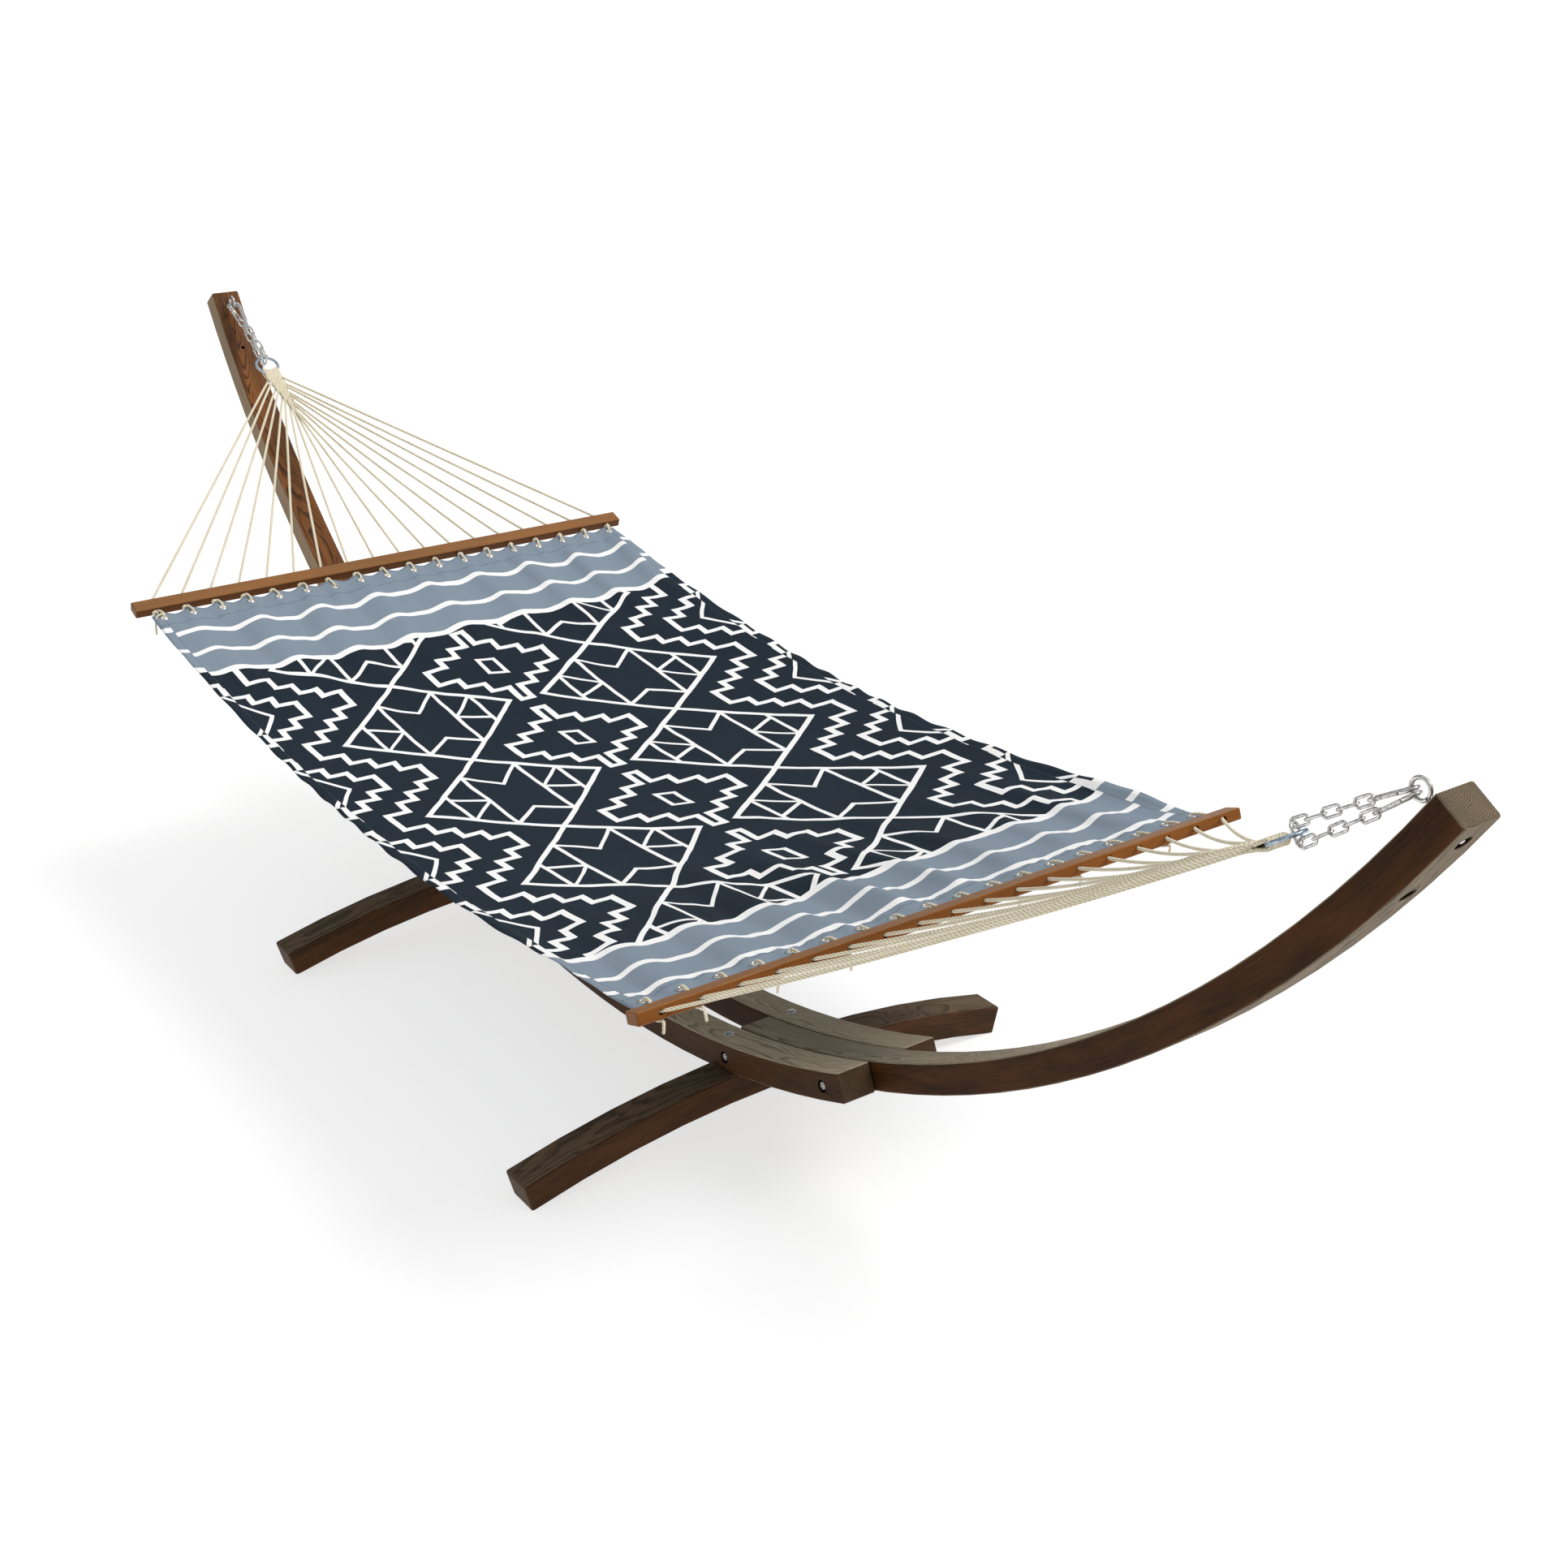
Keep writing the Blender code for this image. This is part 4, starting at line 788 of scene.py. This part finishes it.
def bedHeight(x, y):
    # a shallow dish hung between the two hems, rippled lengthways where the ropes gather it
    b = bedSet
    share = (x - hemHead[0]) / (hemFoot[0] - hemHead[0])
    dish = 4.0 * share * (1.0 - share)
    across = 1.0 - (2.0 * y / b["width"]) ** 2
    sag = b["edgeSag"] + (b["centreSag"] - b["edgeSag"]) * across
    z = hemHead[1] + (hemFoot[1] - hemHead[1]) * share - dish * sag
    for end, hemX in (("head", hemHead[0]), ("foot", hemFoot[0])):
        size, fade, crest = b["ripple"][end]
        away = np.abs(x - hemX)
        drift = 0.014 * np.sin(5.0 * away + 3.0 * y) + 0.010 * np.sin(11.0 * away - 7.0 * y)
        phase = 2 * np.pi * (y - crest - drift) / b["ripplePitch"]
        wave = np.cos(phase) + 0.22 * np.cos(2 * phase + 0.9) + 0.12 * np.cos(3 * phase + 2.0 * np.sin(4.0 * y))
        wave = (0.80 + 0.30 * np.sin(9.0 * y + 2.0 * ends[end])) * wave + 0.25 * np.cos(2 * np.pi * (y + 0.02) / 0.31)
        z = z + size * (1.0 - hump(away, 0.07)) * hump(away, fade) * wave
        z = z + b["gather"] * hump(away, 0.080) * np.cos(2 * np.pi * (y / eyeletPitch - 0.5))
        tuck = np.cos(2 * np.pi * y / (ropePitch / 2) + 1.3 * np.sin(21.0 * y))
        z = z + b["pucker"] * hump(away - b["endHem"], 0.014) * tuck
    sideTuck = np.sin(2 * np.pi * x / 0.118 + 2.2 * np.sin(6.0 * x) + np.sign(y))
    sideTuck = sideTuck * hump(b["width"] / 2 - np.abs(y), 0.022)
    slack = 0.0016 * np.sin(7.1 * x + 2.0 * np.sin(3.0 * y)) * np.sin(6.3 * y + 1.0)
    return z + (b["sidePucker"] * sideTuck + slack) * dish


# bed cloth and its print

printSet = {"pitch": 0.370, "phase": -0.537, "lean": 0.15, "rowCentre": 0.240, "cellHalfLength": 0.185,
            "cellHalfWidth": 0.200, "lattice": 0.0112, "thin": 0.0086, "step": 0.0138,
            "innerRail": 0.064, "outerRail": 0.132,
            "diamond": [(0.031, 0.142), (0.064, 0.096), (0.101, 0.052), (0.160, 0.012)],
            "terrace": [(0.033, 0.348), (0.068, 0.388), (0.105, 0.427), (0.148, 0.465), (9.0, 0.512)],
            "terraceGap": 0.105,
            "headStripes": (-0.714, -0.806, -0.900), "footStripes": (0.783, 0.878, 0.967),
            "border": 0.0195, "stripe": 0.0165, "stitch": 0.0052}
clothSet = {"navy": (0.0115, 0.0215, 0.0340), "navyDeep": (0.0075, 0.0145, 0.0240), "white": (0.88, 0.88, 0.87),
            "slate": (0.215, 0.268, 0.325), "worn": (0.17, 0.19, 0.21), "thread": (0.060, 0.080, 0.105),
            "yarn": 0.0011}


def onLine(field, width):
    return abs(field) < width / 2


def stairs(boxes, along, past):
    # distance to a union of boxes, each within its half length and on the near side of its level
    shapes = [(along - halfLength).most(past(level)) for halfLength, level in boxes]
    return functools.reduce(Field.least, shapes)


# white line and slate masks from the cloth's own length and width, in metres
def makeBedPrint():
    p = printSet
    thin, pitch = p["thin"], p["pitch"]
    tree, got, put = newGroup("bedPrint", {"Place": None}, ["Line", "Slate", "Stitch"])
    length, v = splitVector(tree, got.outputs["Place"])[:2]
    shake = noise(tree, got.outputs["Place"], 11.0, 1.0)
    shiver = noise(tree, joinVector(tree, v + 4.0, length, 2.0), 12.0, 1.0)
    side = abs(v)
    folded = side > (bedSet["width"] / 2 - bedSet["sideHem"])
    u = length + (shake - 0.5) * 0.010 + folded * 0.022
    w = abs(v + (shiver - 0.5) * 0.008)
    lean = (w - p["rowCentre"]) * p["lean"]
    turns = (u - p["phase"]) / pitch
    leanTurns = (u - p["phase"] - lean) / pitch
    m = ((turns + 0.5).math("FRACT") - 0.5) * pitch
    mSize = abs(((leanTurns + 0.5).math("FRACT") - 0.5) * pitch)
    n = (leanTurns.math("FRACT") - 0.5) * pitch
    q = w - p["rowCentre"]
    nSize, qSize = abs(n), abs(q)

    a, b = p["cellHalfLength"], p["cellHalfWidth"]
    cell = (nSize / a + qSize / b - 1.0) * (a * b / math.hypot(a, b))
    rails = onLine(qSize - p["innerRail"], thin).most(onLine(qSize - p["outerRail"], thin))
    # a lopsided V in the outer panel, turned half round in the inner one
    nFlip = n * ((q > 0.0) * 2.0 - 1.0)
    leftRun, rightRun = 0.042, 0.066
    armRun = ((nFlip > 0.0) * (rightRun - leftRun) + leftRun) / (p["outerRail"] - p["innerRail"])
    vee = onLine((nSize - (qSize - p["innerRail"]) * armRun) * 0.80, thin)
    vee = vee * (qSize > p["innerRail"]) * (qSize < p["outerRail"])
    # arrow heads pointing into the middle panel from both sides
    tip = (n > 0.0) * 0.017 + 0.055
    arrow = onLine((nSize - tip - qSize * ((0.122 - tip) / p["innerRail"])) * 0.72, thin) * (qSize < p["innerRail"])
    line = onLine(cell, p["lattice"]).most((cell < 0.0) * rails.most(vee).most(arrow))

    # stepped diamonds down the middle, and stepped terraces along both sides
    line = line.most(onLine(stairs(p["diamond"], abs(m), lambda level: w - level), p["step"]))
    eye = (abs(m - v * 0.35) - 0.031).most(w - 0.0175)
    line = line.most(onLine(eye, thin * 1.1))
    for lift in (0.0, p["terraceGap"]):
        line = line.most(onLine(stairs(p["terrace"], mSize, lambda level: (level + lift) - w), p["step"]))
    spear = onLine(((w - 0.522) - mSize * 0.62) * 0.85, thin) * (w > 0.512)
    line = line.most(spear * (mSize < 0.10))

    wave = (v * (2 * math.pi / 0.131)).math("SINE") * 0.0035 + (v * 9.0 + 1.0).math("SINE") * 0.006
    uBand = u + wave + (shake - 0.5) * 0.006
    slate = (uBand < p["headStripes"][0]).most(uBand > p["footStripes"][0])
    line = line * (1.0 - slate)
    for stripes in (p["headStripes"], p["footStripes"]):
        for order, place in enumerate(stripes):
            line = line.most(onLine(uBand - place, p["stripe"] if order else p["border"]))

    sideSeam = abs(side - (bedSet["width"] / 2 - bedSet["sideHem"])) < 0.0009
    endDistance = (length - hemHead[0]).least(hemFoot[0] - length)
    endSeam = abs(endDistance - bedSet["endHem"]) < 0.0014
    sideStitch = sideSeam * ((length / p["stitch"]).math("FRACT") < 0.62)
    endStitch = endSeam * ((v / p["stitch"]).math("FRACT") < 0.70)
    return closeGroup(tree, put, line, slate, sideStitch.most(endStitch))


# crossed yarns as a height and a shade
def makeWeave():
    group, got, put = newGroup("plainWeave", {"Place": None, "Yarn": 0.0011}, ["Height", "Shade"])
    x, y = splitVector(group, got.outputs["Place"])[:2]
    yarn = Field(group, got.outputs["Yarn"])
    warp = (x / yarn * math.pi).math("SINE")
    weft = (y / yarn * math.pi).math("SINE")
    slub = noise(group, joinVector(group, x * 60.0, y * 900.0, 0.0), 1.0, 2.0)
    slubAcross = noise(group, joinVector(group, x * 900.0, y * 60.0, 5.0), 1.0, 2.0)
    height = 0.5 + 0.25 * warp * weft + (slub + slubAcross - 1.0) * 0.35
    return closeGroup(group, put, height, slub * 0.5 + slubAcross * 0.5)


def makeBedCloth():
    c = clothSet
    material, tree, shader = newMaterial("printedBedCloth")
    place = ownPlace(tree)
    line, slate, stitch = useGroup(tree, makeBedPrint(), {"Place": place}).values()
    weave, shade = useGroup(tree, makeWeave(), {"Place": place, "Yarn": c["yarn"]}).values()
    cloud = noise(tree, place, 3.0, 3.0, 0.55)
    navy = blendColour(tree, (cloud * 0.6 + shade * 0.5).ramp(0.30, 0.80), c["navyDeep"], c["navy"])
    ground = blendColour(tree, slate, navy, c["slate"])
    colour = blendColour(tree, line, ground, c["white"])
    colour = blendColour(tree, shade.ramp(0.45, 0.95) * 0.09, colour, c["worn"])
    colour = blendColour(tree, stitch * (0.62 - 0.36 * line), colour, c["thread"])
    dressShader(tree, shader, colour, 0.70 + 0.18 * shade, (weave * 0.5 - stitch * 0.8, 0.0004, 0.55),
                {"Specular IOR Level": 0.10, "Sheen Weight": 0.03, "Sheen Roughness": 0.5})
    return material


def spacedEdges(marks, gap, low, high, fill):
    # grid lines that bracket each mark by a gap, with even cells between them
    edges = np.sort(np.concatenate([[low, high], marks - gap / 2, marks + gap / 2]))
    runs = [np.linspace(lo, hi, max(2, int(round((hi - lo) / fill)) + 1))[:-1] if hi - lo > gap * 1.05
            else np.array([lo]) for lo, hi in zip(edges[:-1], edges[1:])]
    return np.concatenate(runs + [[high]])


def buildBed():
    b = bedSet
    inset = np.array([hemHead[0] + b["eyeletInset"], hemFoot[0] - b["eyeletInset"]])
    across = spacedEdges(eyeletYs, b["eyeletHole"], -b["width"] / 2, b["width"] / 2, b["cell"][1])
    length = spacedEdges(inset, b["eyeletHole"], hemHead[0], hemFoot[0], b["cell"][0])
    x, y = np.meshgrid(length, across, indexing="ij")
    # the hem scallops back a little between the eyelets
    toEyelet = np.abs(y[..., None] - eyeletYs).min(-1)
    pull = b["scallop"] * (1 - np.cos(np.pi * np.clip(toEyelet / (ropePitch / 2), 0, 1))) / 2
    nearHead, nearFoot = (hump(x - hem[0], b["scallopFade"]) for hem in (hemHead, hemFoot))
    points = np.stack([x + pull * (nearHead - nearFoot), y, bedHeight(x, y)], -1).reshape(-1, 3)
    faces = gridFaces(len(length), len(across))
    cellX = (length[:-1] + length[1:]) / 2
    cellY = (across[:-1] + across[1:]) / 2
    openX = np.abs(cellX[:, None] - inset).min(1) < 0.001
    openY = np.abs(cellY[:, None] - eyeletYs).min(1) < 0.001
    keep = ~(openX[:, None] & openY[None, :]).reshape(-1)
    place = np.stack([x, y, 0 * x], -1).reshape(-1, 3)
    cloth = makePiece("hammockBed", points, faces[keep], makeBedCloth(), "hammock", ["bed"],
                      facing=False, place=place)
    skin = cloth.modifiers.new("clothThickness", "SOLIDIFY")
    skin.thickness, skin.offset = b["thickness"], 0.0
    print("bed cloth made,", len(length) * len(across), "points")
    return cloth


bed = buildBed()

eyeletSet = {"inner": 0.0058, "outer": 0.0100, "height": 0.0018, "sides": 28, "bead": 12}


def bedSlope(x, y, stepX, stepY):
    return ((bedHeight(x + stepX, y) - bedHeight(x - stepX, y)) / (2 * stepX),
            (bedHeight(x, y + stepY) - bedHeight(x, y - stepY)) / (2 * stepY))


# each eyelet is a flattened bead turned about its hole and sheared to the slope of the cloth
def buildEyelets():
    e = eyeletSet
    bead = np.linspace(0, 2 * np.pi, e["bead"], endpoint=False)
    middle, half = (e["inner"] + e["outer"]) / 2, (e["outer"] - e["inner"]) / 2
    around = np.linspace(0, 2 * np.pi, e["sides"], endpoint=False)[:, None]
    radius = middle + half * np.cos(bead)[None, :]
    height = e["height"] * np.sin(bead) + 0 * around
    flat = np.stack([radius * np.cos(around), radius * np.sin(around), height], -1).reshape(-1, 3)
    faces = gridFaces(e["sides"], e["bead"], True, True).tolist()
    for end, sign in ends.items():
        x = hemPlace(end)[0] - sign * bedSet["eyeletInset"]
        shells = []
        for y in eyeletYs:
            slopeX, slopeY = bedSlope(x, y, 0.01, 0.006)
            points = flat + [x, y, float(bedHeight(x, y))]
            points[:, 2] += flat[:, 0] * slopeX + flat[:, 1] * slopeY
            shells.append((points, faces))
        points, allFaces = joinShells(shells)
        makePiece(end + "Eyelets", points, allFaces, zinc, "hammock")


buildEyelets()
print("eyelets made")


# rope harness

ropeColourSet = {"light": (0.90, 0.835, 0.665), "shade": (0.72, 0.635, 0.445), "crease": (0.42, 0.350, 0.205)}


def makeRopeFibre():
    material, tree, shader = newMaterial("creamRope")
    groove = splitVector(tree, ownPlace(tree))[1]
    fuzz = noise(tree, objectPlace(tree), 700.0, 3.0, 0.6)
    patch = noise(tree, objectPlace(tree), 14.0, 2.0)
    tone = patch.ramp(0.35, 0.7) * 0.45 + fuzz * 0.2
    colour = blendColour(tree, tone, ropeColourSet["light"], ropeColourSet["shade"])
    # painted shade in the grooves between the strands
    colour = blendColour(tree, groove.ramp(0.25, 1.0) * 0.85, colour, ropeColourSet["crease"])
    dressShader(tree, shader, colour, 0.78 + 0.15 * fuzz, (fuzz, 0.0004, 0.5),
                {"Specular IOR Level": 0.2, "Sheen Weight": 0.2})
    return material


ropeFibre = makeRopeFibre()
strandLobe = np.tile([1.0, 0.93, 0.70, 0.93], 3)


def twistedRope(path, radius, closed=False, across=(0.0, 1.0, 0.0)):
    # three strands: the profile has three lobes and turns once in each lay length
    reach = np.concatenate([[0], np.cumsum(np.linalg.norm(np.diff(path, axis=0), axis=1))])
    angle = np.arange(12) * 2 * np.pi / 12
    profile = radius * np.stack([strandLobe * np.cos(angle), strandLobe * np.sin(angle)], 1)
    lays = max(1, round(reach[-1] / ropeSet["lay"])) if closed else reach[-1] / ropeSet["lay"]
    points, faces = sweep(path, profile, across, closed, turn=2 * np.pi * lays * reach / reach[-1])
    groove = np.broadcast_to(((1.0 - strandLobe) / 0.30)[None, :], (len(path), 12))
    own = np.stack([np.broadcast_to(reach[:, None], groove.shape), groove, 0 * groove], -1).reshape(-1, 3)
    return points, faces, own


def ropePiece(name, ropes, replaced=()):
    points, faces = joinShells([r[:2] for r in ropes])
    own = np.concatenate([r[2] for r in ropes])
    return makePiece(name, points, faces, ropeFibre, "hammock", replaced, place=own)


def spotOn(place, x, y, z):
    return np.array(place @ Vector((x, y, z)))


def barFrame(end, y):
    x, z = barSet["place"][end]
    outward = Vector((ends[end] * math.cos(barSet["tilt"]), 0.0, math.sin(barSet["tilt"])))
    side = Vector((0.0, 1.0, 0.0))
    return frameAt((x, y, z), outward, side, outward.cross(side))


def bandFrame(end):
    x, z = barSet["place"][end]
    ring = ringFrames[end]
    direction = (Vector((x, 0.0, z)) - ring.translation).normalized()
    bearing = ring.translation + (ring.to_3x3() @ Vector((1, 0, 0))) * hangSet["ringRadius"]
    return chainFrame(bearing, direction)


# how far down the band a rope leaves it: the middle ropes run furthest
def leaveAt(y):
    r = ropeSet
    share = (r["count"] / 2 - abs(y) / ropePitch) / (r["count"] / 2 - 0.5)
    return r["bandLength"] * (0.10 + 0.86 * share)


# one rope: up from its bar hole into the band, round the ring's wire, and back down to the next hole
def harnessLine(end, band, pair):
    r = ropeSet
    lateral = (pair - 4) * r["slot"]
    arc = -(hangSet["ringRadius"] - math.sqrt(max(hangSet["ringRadius"] ** 2 - lateral**2, 0.0)))
    turnRadius = hangSet["ringWire"] + r["radius"] * 0.86
    legs = []
    for layer, index in ((1, 2 * pair), (-1, 2 * pair + 1)):
        y = ropeYs[index]
        leave = leaveAt(y)
        hole = spotOn(barFrame(end, y), barSet["width"] / 2 - 0.008, 0.0, 0.0)
        near = [(arc + 0.010, -lateral, layer * (turnRadius - 0.0008)), (arc + 0.022, -lateral, layer * 0.0036)]
        middle = [(d, -lateral, layer * 0.0030) for d in np.arange(arc + 0.040, leave, 0.022)]
        inBand = placed(near + middle + [(max(leave, arc + 0.026), -lateral, layer * 0.0026)], band)
        share = np.linspace(0.06, 1.0, 14)
        free = inBand[-1] + (hole - inBand[-1]) * share[:, None]
        free[:, 2] -= 4 * r["sag"][end] * share * (1 - share)
        legs.append(np.concatenate([inBand, free]))
    turn = np.linspace(np.pi / 2, 3 * np.pi / 2, 7)
    loop = np.stack([arc + turnRadius * np.cos(turn), 0 * turn - lateral, turnRadius * np.sin(turn)], 1)
    return smoothLine(np.concatenate([legs[0][::-1], placed(loop, band), legs[1]]), r["step"])


# the rope that weaves over and under the strands across the band
def weftLine(band, number):
    r = ropeSet
    distance = r["firstWeft"] + r["weftPitch"] * number
    crossed = sum(leaveAt(y) > distance for y in ropeYs)
    half = r["slot"] * (crossed / 2) / 2 + 0.0016
    t = np.linspace(0, 1, 26)
    y = half * np.cos(np.pi * t)
    over = 2.9 + 3.1 * np.cos(np.pi * y / r["slot"] + np.pi * number)
    slant = distance + 0.0022 * np.cos(np.pi * t)
    lift = over * 0.001 * np.sin(np.pi * t) ** 0.35
    top, under = np.stack([slant, y, lift], 1), np.stack([slant + 0.004, -y, -lift], 1)
    return smoothLine(placed(np.concatenate([top[:-1], under[:-1]]), band), 0.0022, closed=True)


# rope ends that hang from some of the lacing knots, by hole number and in metres
tailSet = {"head": {0: 0.040},
           "foot": {0: 0.020, 1: 0.024, 3: 0.018, 5: 0.024, 6: 0.015, 8: 0.022, 10: 0.020, 12: 0.017, 15: 0.014}}


# a loop from the bar hole over the hem, down through the eyelet and back under the hem, and its stopper knot
def lacingLines(end, index):
    sign = ends[end]
    y, yEye = ropeYs[index], eyeletYs[index]
    bar = barFrame(end, y)
    inner = spotOn(bar, -barSet["width"] / 2 + 0.006, 0.0, 0.0)
    face = spotOn(bar, -barSet["width"] / 2 - 0.003, 0.0, 0.0)
    xEye = hemPlace(end)[0] - sign * bedSet["eyeletInset"]
    eye = np.array([xEye, yEye, float(bedHeight(xEye, yEye))])
    wag = 0.0025 * math.sin(2.7 * index + 1.0)
    hemEdge = np.array([hemPlace(end)[0], (y + yEye) / 2, eye[2] + 0.004])
    loop = [inner + [0, 0.0012, 0.001], face + [0, 0.002, 0.002], hemEdge + [0, 0.002 + wag, 0.0058],
            eye + [sign * 0.0062, 0.0008 + wag, 0.0070], eye + [sign * 0.0008, 0, 0.0042],
            eye + [-sign * 0.0006, 0, -0.0035], eye + [sign * 0.005, -0.0005, -0.0078],
            hemEdge + [0, -0.002 - wag, -0.0078], face + [0, -0.002, -0.003], inner + [0, -0.0012, -0.001]]
    turn = np.linspace(0, 2 * np.pi * 1.6, 34)
    coil = np.stack([sign * 0.0030 * np.cos(turn * 0.5), 0.0042 * np.cos(turn + 0.7 * index),
                     0.0042 * np.sin(turn + 0.7 * index)], 1)
    knot = face + [-sign * 0.0045, 0, -0.001] + coil
    lines = [smoothLine(loop, 0.0018), smoothLine(knot[::3], 0.0016)]
    drop = tailSet[end].get(index)
    if drop is None:
        return lines
    if end == "head":
        top = eye + [sign * 0.006, -0.012, 0.004]
        tail = [eye + [sign * 0.006, 0.001, 0.0075], top, top + [0, -0.006, -0.014],
                top + [-sign * 0.002, -0.008, -drop]]
    else:
        below = -barSet["thickness"] / 2
        under = spotOn(bar, -0.006, 0.0, below - 0.0030)
        edge = spotOn(bar, barSet["width"] / 2 - 0.004, 0.0015, below - 0.0034)
        swing = 0.16 * math.sin(1.9 * index) * drop
        tail = [knot[-1], under, edge, edge + [sign * 0.002, swing, -0.45 * drop],
                edge + [sign * 0.001, swing * 1.8, -drop]]
    return lines + [smoothLine(tail, 0.0018)]


def buildHarness(end):
    r = ropeSet
    band = bandFrame(end)
    ropes = [twistedRope(harnessLine(end, band, pair), r["radius"]) for pair in range(r["count"] // 2)]
    sideways = tuple(band.to_3x3() @ Vector((1, 0, 0)))
    wefts = [twistedRope(weftLine(band, number), r["weftRadius"], True, sideways) for number in range(r["wefts"])]
    ropePiece(end + "Harness", ropes + wefts, ["rope_harness_" + end])
    # the looks of a lacing rope, its knot and its hanging end: radius and the side its twist starts from
    looks = [(r["lacingRadius"], (0, 1, 0)), (r["knotRadius"], (1, 0, 0)), (r["knotRadius"], (0, 1, 0))]
    lacing = [twistedRope(line, radius, across=across) for index in range(r["count"])
              for line, (radius, across) in zip(lacingLines(end, index), looks)]
    ropePiece(end + "Lacing", lacing)
    print(end, "harness made")


for end in ends:
    buildHarness(end)


# floor

floorSet = {"tone": 0.42, "spread": 0.02, "glow": 0.66, "reach": 60.0, "drop": 0.0005}


def makeFloor():
    f = floorSet
    material, tree, shader = newMaterial("paleFloor")
    patch = noise(tree, objectPlace(tree), 0.4, 2.0)
    colour = blendColour(tree, patch, (f["tone"],) * 3, (f["tone"] + f["spread"],) * 3)
    for label, value in {"Base Color": colour, "Roughness": 0.9, "Specular IOR Level": 0.1,
                         "Emission Color": (1.0, 1.0, 1.0, 1.0), "Emission Strength": f["glow"]}.items():
        feed(tree, shader.inputs[label], value)
    mesh = bpy.data.meshes.new("studioFloor")
    corners = [(x * f["reach"], y * f["reach"], -f["drop"]) for x, y in ((-1, -1), (1, -1), (1, 1), (-1, 1))]
    mesh.from_pydata(corners, [], [(0, 1, 2, 3)])
    mesh.materials.append(material)
    floor = bpy.data.objects.new("studioFloor", mesh)
    scene.collection.objects.link(floor)


makeFloor()

print("all pieces made")
